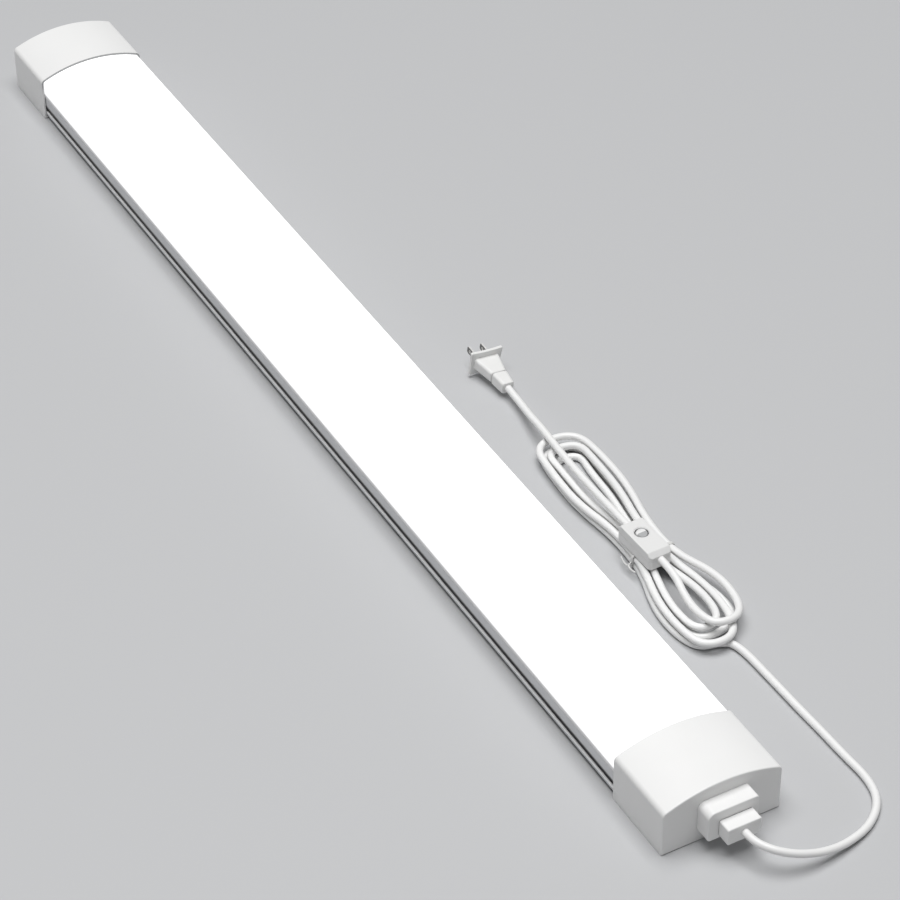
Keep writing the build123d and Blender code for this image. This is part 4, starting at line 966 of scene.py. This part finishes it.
def handles(start, leaving, end, arriving):
    """The two control points that lead the cord from one station to the next along both headings."""
    chord = end - start
    along = chord.dot(leaving + arriving)
    bend = 2 * (1 - leaving.dot(arriving))
    if bend < STRAIGHT:
        reach = chord.length_squared / (2 * along)
    else:
        reach = (sqrt(along**2 + bend * chord.length_squared) - along) / bend
    return [start + leaving * reach, end - arriving * reach]


def round_piece(name, routes, radius, roundness, smoothness, material):
    """A round cord or wire along smooth lines, each steered by the points of its route."""
    curve = bpy.data.curves.new(name, "CURVE")
    curve.dimensions = "3D"
    curve.bevel_depth = radius
    curve.bevel_resolution = roundness
    curve.resolution_u = smoothness
    curve.use_fill_caps = True
    curve.materials.append(material)
    for route in routes:
        spline = curve.splines.new("NURBS")
        spline.points.add(len(route) - 1)
        for place, point in zip(spline.points, route):
            place.co = (*point, 1)
        spline.order_u = 3
        spline.use_endpoint_u = True
    piece = bpy.data.objects.new(name, curve)
    bpy.context.scene.collection.objects.link(piece)
    return piece


def cord_piece(name, route):
    """A length of the flex, in its jacket."""
    radius = CORD_DIAMETER / 2
    return round_piece(name, [route], radius, CORD_ROUNDNESS, CORD_SMOOTHNESS, jacket_material)


jacket_material = moulded_material("cord_jacket", CORD_FINISH, CORD_RELIEF)
inward = hank_heading(HANK_ENTRY_HEADING)
entry = hank_point(*HANK_ENTRY, CORD_DIAMETER / 2)
bend_along, bend_across, bend_heading = HANK_ENTRY_BEND
into_switch = Vector((-cos(SWITCH_HEADING), -sin(SWITCH_HEADING), 0))
switch_near_end = SWITCH_MIDDLE - into_switch * SWITCH_LENGTH / 2
stations = [
    (entry + inward * HANK_ENTRY_LEAD, inward),
    (hank_point(bend_along, bend_across, CORD_DIAMETER / 2), hank_heading(bend_heading)),
]
stations += [hank_station(eighths) for eighths in range(HANK_EIGHTHS + 1)]
stations += [(hank_point(*stop[:3]), hank_heading(stop[3])) for stop in HANK_TOP_LOOP]
stations.append((switch_near_end - into_switch * CORD_DIAMETER, into_switch))
lamp_points = [Vector(point) for point in LAMP_ROUTE]
lamp_points.append(entry - inward * HANK_ENTRY_RUN)
for (start, leaving), (end, arriving) in zip(stations, stations[1:]):
    lamp_points += handles(start, leaving, end, arriving)
lamp_points.append(switch_near_end)
lamp_cord = cord_piece("lamp_cord", lamp_points)
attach(lamp_cord, "cord_set")
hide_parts("cord_lamp_run", "cord_hank")


# The tie: a flat strip of pale plastic over a soft wire, wrapped once round the waist of the hank.
# Its two ends are twisted together at the side and bent back into hooks.
TIE_PLACE = 0.0145
TIE_LEFT = -0.01783
TIE_RIGHT = 0.02131
TIE_LOW = 0.0007
TIE_HIGH = 0.0147
TIE_CORNER = 0.0030
TIE_CORNER_STEPS = 8
TIE_SHARP = radians(40)
TIE_SECTION = [
    (-0.0015, 0.0),
    (-0.0015, 0.0003),
    (-0.0006, 0.00035),
    (-0.00035, 0.0006),
    (0.0, 0.0007),
    (0.00035, 0.0006),
    (0.0006, 0.00035),
    (0.0015, 0.0003),
    (0.0015, 0.0),
]
TIE_WIRE_RADIUS = 0.0007
TIE_WIRE_ROUNDNESS = 4
TIE_WIRE_SMOOTHNESS = 8
TIE_END_BACK = [
    (0.0142, -0.0176, 0.0086),
    (0.0149, -0.0190, 0.0084),
    (0.0156, -0.0202, 0.0071),
    (0.0163, -0.0216, 0.0072),
    (0.0156, -0.0230, 0.0079),
    (0.0132, -0.0233, 0.0080),
    (0.0107, -0.0231, 0.0078),
    (0.0072, -0.0224, 0.0077),
    (0.0039, -0.0215, 0.0077),
]
TIE_END_ON = [
    (0.0148, -0.0176, 0.0068),
    (0.0152, -0.0190, 0.0070),
    (0.0155, -0.0202, 0.0083),
    (0.0164, -0.0214, 0.0082),
    (0.0182, -0.0224, 0.0076),
    (0.0206, -0.0226, 0.0077),
    (0.0235, -0.0220, 0.0077),
    (0.0265, -0.0211, 0.0077),
]
TIE_FINISH = {
    "Colour": (0.70, 0.70, 0.69, 1),
    "Crease Shade Colour": (0.36, 0.36, 0.355, 1),
    "Crease Reach": 0.002,
    "Roughness": 0.38,
    "Grain": 2400.0,
}
TIE_RELIEF = 0.00003

tie_material = moulded_material("tie_coating", TIE_FINISH, TIE_RELIEF)
tie_mesh = bmesh.new()
loops = []
corners = [
    (TIE_RIGHT - TIE_CORNER, TIE_HIGH - TIE_CORNER),
    (TIE_LEFT + TIE_CORNER, TIE_HIGH - TIE_CORNER),
    (TIE_LEFT + TIE_CORNER, TIE_LOW + TIE_CORNER),
    (TIE_RIGHT - TIE_CORNER, TIE_LOW + TIE_CORNER),
]
for quarter, (across, height) in enumerate(corners):
    for step in range(TIE_CORNER_STEPS + 1):
        angle = (quarter + step / TIE_CORNER_STEPS) * pi / 2
        loop = []
        for offset, thickness in TIE_SECTION:
            radius = TIE_CORNER + thickness
            point = hank_point(
                TIE_PLACE + offset, across + radius * cos(angle), height + radius * sin(angle)
            )
            loop.append(tie_mesh.verts.new(point))
        loops.append(loop)
join_rings(tie_mesh, loops + loops[:1], capped=False)
bmesh.ops.recalc_face_normals(tie_mesh, faces=tie_mesh.faces)
tie_strip = new_piece("tie_strip", tie_mesh, tie_material)
tie_strip.data.set_sharp_from_angle(angle=TIE_SHARP)
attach(tie_strip, "cord_set")
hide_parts("hank_tie")

twisted_ends = [[hank_point(*point) for point in end] for end in (TIE_END_BACK, TIE_END_ON)]
tie_ends = round_piece(
    "tie_ends", twisted_ends, TIE_WIRE_RADIUS, TIE_WIRE_ROUNDNESS, TIE_WIRE_SMOOTHNESS, tie_material
)
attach(tie_ends, "cord_set")


# The in-line switch: two white half shells screwed together from below, with a round rocker on top.
# The rocker is a harder, glossier plastic. Its pressed half and its raised rim have painted shade.
# Brass terminals stand on the floor inside.
SWITCH_FINISH = {
    "Colour": (0.78, 0.78, 0.775, 1),
    "Crease Shade Colour": (0.36, 0.365, 0.37, 1),
    "Crease Reach": 0.0025,
    "Roughness": 0.32,
    "Grain": 2100.0,
}
SWITCH_RELIEF = 0.00002
ROCKER_FINISH = {
    "Colour": (0.85, 0.85, 0.845, 1),
    "Crease Shade Colour": (0.16, 0.163, 0.168, 1),
    "Crease Reach": 0.005,
    "Roughness": 0.20,
    "Grain": 2100.0,
}
ROCKER_RELIEF = 0.00001
ROCKER_PRESSED_SHADE = (0.44, 0.445, 0.45, 1)
ROCKER_PRESSED_SLOPE = 0.20
ROCKER_PRESSED_FADE = 0.05
ROCKER_RIM_SHADE = (0.60, 0.605, 0.61, 1)
ROCKER_RIM_REACH = 0.0030
ROCKER_RIM_FADE = 0.0018
SWITCH_SCREW_COLUMNS = 2
SWITCH_SCREW_HEAD = 0.0020
SWITCH_SCREW_SHANK = 0.0011
SWITCH_SCREW_SINK = 0.0012

switch_material = moulded_material("switch_moulding", SWITCH_FINISH, SWITCH_RELIEF)
rocker_material, tree = new_material("rocker_moulding")
skin = put(tree, "Group", ROCKER_FINISH, node_tree=skin_and_crease_shade).outputs
low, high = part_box("switch_rocker")
behind_middle = put(
    tree, "Math", {0: (low.x + high.x) / 2, 1: place_on(tree, "X")}, operation="SUBTRACT"
).outputs[0]
# Painted shade that grows towards the raised half's rim.
rim_shade = above(tree, behind_middle, ROCKER_RIM_REACH, ROCKER_RIM_FADE)
facing = put(tree, "SeparateXYZ", {"Vector": put(tree, "TexCoord").outputs["Normal"]})
# Painted shade on the faces that slope down to +X, the pressed half.
pressed_shade = above(tree, facing.outputs["X"], ROCKER_PRESSED_SLOPE, ROCKER_PRESSED_FADE)
rim_shaded = blend_colour(tree, rim_shade, skin["Colour"], ROCKER_RIM_SHADE)
surface(
    tree,
    Base_Color=blend_colour(tree, pressed_shade, rim_shaded, ROCKER_PRESSED_SHADE),
    Roughness=skin["Roughness"],
    Normal=relief(tree, skin["Height"], ROCKER_RELIEF),
)
dress(switch_material, "switch_base", "switch_cover")
dress(rocker_material, "switch_rocker")
dress(brass_material, "switch_contacts")
switch_screws = screw_set(
    "switch_screws",
    "cord_set",
    SWITCH_SCREW_COLUMNS,
    SWITCH_SCREW_HEAD,
    SWITCH_SCREW_SHANK,
    SWITCH_SCREW_SINK,
    downward=-1,
    diagonal=True,
)


# The plug end: a short straight length of the same flex, moulded into a two-blade plug.
# The plug is soft white PVC, a flat body behind a tall face plate, and lies on a corner of the plate.
# A groove parts the body from the cord's neck. The blades are nickel plated, with flats painted
# dark as a painted reflection and a painted highlight on their edges.
PLUG_ROUTE = [
    (0.230, 0.1076, 0.0220),
    (0.192, 0.1094, 0.0198),
    (0.160, 0.1120, 0.0186),
    (0.134, 0.1144, 0.0172),
    (0.107, 0.1174, 0.0130),
]
PLUG_FACE = Vector((0.022, 0.122, 0.0134))
PLUG_HEADING = radians(-0.4)
PLUG_PITCH = radians(4.3)
PLUG_ROLL = radians(-5.7)
PLUG_LENGTH = 0.0420
PLUG_LEAD = 0.020
PLUG_QUARTERS = ((1, 1), (-1, 1), (-1, -1), (1, -1))
PLUG_CORNER_STEPS = 6
PLUG_SIDE_STEPS = 8
PLUG_EDGE_STEPS = 3
PLUG_SHARP = radians(35)
PLUG_PLATE_END = 0.0030
PLUG_PLATE_SIZE = (0.0310, 0.0234)
PLUG_PLATE_CORNER = 0.0012
PLUG_PLATE_HOLLOW = 0.0007
PLUG_PLATE_EDGE = 0.0005
PLUG_BODY_END = 0.0248
PLUG_BODY_START_SIZE = (0.0243, 0.0112)
PLUG_BODY_END_SIZE = (0.0156, 0.0106)
PLUG_BODY_CORNER = 0.0024
PLUG_BODY_EDGE = 0.0010
PLUG_GROOVE_END = 0.0264
PLUG_GROOVE_SIZE = (0.0128, 0.0088)
PLUG_NECK_START_SIZE = (0.0148, 0.0116)
PLUG_NECK_END_SIZE = (0.0116, 0.0110)
PLUG_NECK_EDGE = 0.0006
SWITCH_LEAD = 0.022
PLUG_FINISH = {
    "Colour": (0.81, 0.81, 0.80, 1),
    "Crease Shade Colour": (0.44, 0.44, 0.435, 1),
    "Crease Reach": 0.004,
    "Roughness": 0.40,
    "Grain": 1300.0,
}
PLUG_RELIEF = 0.00004
NICKEL_FLAT_SHADE = (0.13, 0.128, 0.124, 1)
NICKEL_FLAT_SHADE_RUBBED = (0.22, 0.217, 0.21, 1)
NICKEL_EDGE_HIGHLIGHT = (0.92, 0.915, 0.90, 1)
NICKEL_EDGE_METALLIC = 0.35
NICKEL_SCRATCHES = 1500.0
NICKEL_ROUGHNESS = (0.18, 0.34)
BLADE_FLAT = 0.7
BLADE_FLAT_FADE = 0.1

plug_material = moulded_material("plug_moulding", PLUG_FINISH, PLUG_RELIEF)
plug_turn = Matrix.Rotation(PLUG_HEADING, 3, "Z") @ Matrix.Rotation(PLUG_PITCH, 3, "Y")
plug_turn = plug_turn @ Matrix.Rotation(PLUG_ROLL, 3, "X")


def plug_ring(builder, along, size, inset, corner, hollow):
    """One outline of the plug: an oblong with round corners and sides that may be drawn in."""
    reach_across, reach_up = [length / 2 - inset - corner for length in size]
    corners = [Vector((side * reach_across, up * reach_up)) for side, up in PLUG_QUARTERS]
    outline = []
    for quarter, centre in enumerate(corners):
        for step in range(PLUG_CORNER_STEPS):
            angle = (quarter + step / PLUG_CORNER_STEPS) * pi / 2
            outline.append(centre + corner * Vector((cos(angle), sin(angle))))
        outward = Vector((cos((quarter + 1) * pi / 2), sin((quarter + 1) * pi / 2)))
        following = corners[(quarter + 1) % 4]
        for step in range(PLUG_SIDE_STEPS):
            share = step / PLUG_SIDE_STEPS
            drawn_in = hollow * 4 * share * (1 - share)
            outline.append(centre.lerp(following, share) + outward * (corner - drawn_in))
    return [builder.verts.new(PLUG_FACE + plug_turn @ Vector((along, *point))) for point in outline]


def plug_band(builder, start, end, start_size, end_size, corner, start_edge=0, end_edge=0, hollow=0):
    """The outlines of one stretch of the plug, with its edges rounded over where it starts and ends."""
    rings = []
    for step in range(PLUG_EDGE_STEPS + 1 if start_edge else 1):
        angle = step / PLUG_EDGE_STEPS * pi / 2
        along = start + start_edge * (1 - cos(angle))
        inset = start_edge * (1 - sin(angle))
        rings.append(plug_ring(builder, along, start_size, inset, corner, hollow))
    for step in range(PLUG_EDGE_STEPS + 1 if end_edge else 1):
        angle = (1 - step / PLUG_EDGE_STEPS) * pi / 2
        along = end - end_edge * (1 - cos(angle))
        inset = end_edge * (1 - sin(angle))
        rings.append(plug_ring(builder, along, end_size, inset, corner, hollow))
    return rings


plug_mesh = bmesh.new()
plug_rings = plug_band(
    plug_mesh,
    0,
    PLUG_PLATE_END,
    PLUG_PLATE_SIZE,
    PLUG_PLATE_SIZE,
    PLUG_PLATE_CORNER,
    start_edge=PLUG_PLATE_EDGE,
    end_edge=PLUG_PLATE_EDGE,
    hollow=PLUG_PLATE_HOLLOW,
)
plug_rings += plug_band(
    plug_mesh,
    PLUG_PLATE_END,
    PLUG_BODY_END,
    PLUG_BODY_START_SIZE,
    PLUG_BODY_END_SIZE,
    PLUG_BODY_CORNER,
    end_edge=PLUG_BODY_EDGE,
)
plug_rings += plug_band(
    plug_mesh,
    PLUG_BODY_END,
    PLUG_GROOVE_END,
    PLUG_GROOVE_SIZE,
    PLUG_GROOVE_SIZE,
    PLUG_BODY_CORNER,
)
plug_rings += plug_band(
    plug_mesh,
    PLUG_GROOVE_END,
    PLUG_LENGTH,
    PLUG_NECK_START_SIZE,
    PLUG_NECK_END_SIZE,
    PLUG_BODY_CORNER,
    start_edge=PLUG_NECK_EDGE,
    end_edge=PLUG_NECK_EDGE,
)
join_rings(plug_mesh, plug_rings)
bmesh.ops.recalc_face_normals(plug_mesh, faces=plug_mesh.faces)
plug = new_piece("plug_moulding", plug_mesh, plug_material)
plug.data.set_sharp_from_angle(angle=PLUG_SHARP)
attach(plug, "cord_set")
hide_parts("plug_body")

blade_material, tree = new_material("nickel_blades")
worn = put(tree, "Group", {"Scratches": NICKEL_SCRATCHES}, node_tree=rubbed_metal).outputs
facing = put(tree, "SeparateXYZ", {"Vector": put(tree, "TexCoord").outputs["Normal"]})
# Painted light by facing: the flats carry a painted dark reflection, the edges a painted highlight.
shaded_flat = above(tree, size_of(tree, facing.outputs["Y"]), BLADE_FLAT, BLADE_FLAT_FADE)
flat_shade_tone = blend_colour(tree, worn["Rub"], NICKEL_FLAT_SHADE, NICKEL_FLAT_SHADE_RUBBED)
surface(
    tree,
    Base_Color=blend_colour(tree, shaded_flat, NICKEL_EDGE_HIGHLIGHT, flat_shade_tone),
    Metallic=spread(tree, shaded_flat, NICKEL_EDGE_METALLIC, 1.0),
    Roughness=spread(tree, worn["Scratch"], *NICKEL_ROUGHNESS),
    Normal=relief(tree, worn["Scratch"], METAL_RELIEF),
)
dress(blade_material, "plug_blades")

switch_far_end = SWITCH_MIDDLE + into_switch * SWITCH_LENGTH / 2
plug_line = plug_turn @ Vector((1, 0, 0))
plug_points = [switch_far_end, switch_far_end + into_switch * SWITCH_LEAD]
plug_points += [Vector(point) for point in PLUG_ROUTE]
plug_points.append(PLUG_FACE + plug_line * (PLUG_LENGTH + PLUG_LEAD))
plug_points.append(PLUG_FACE + plug_line * PLUG_LENGTH)
plug_cord = cord_piece("plug_cord", plug_points)
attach(plug_cord, "cord_set")
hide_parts("cord_plug_run")
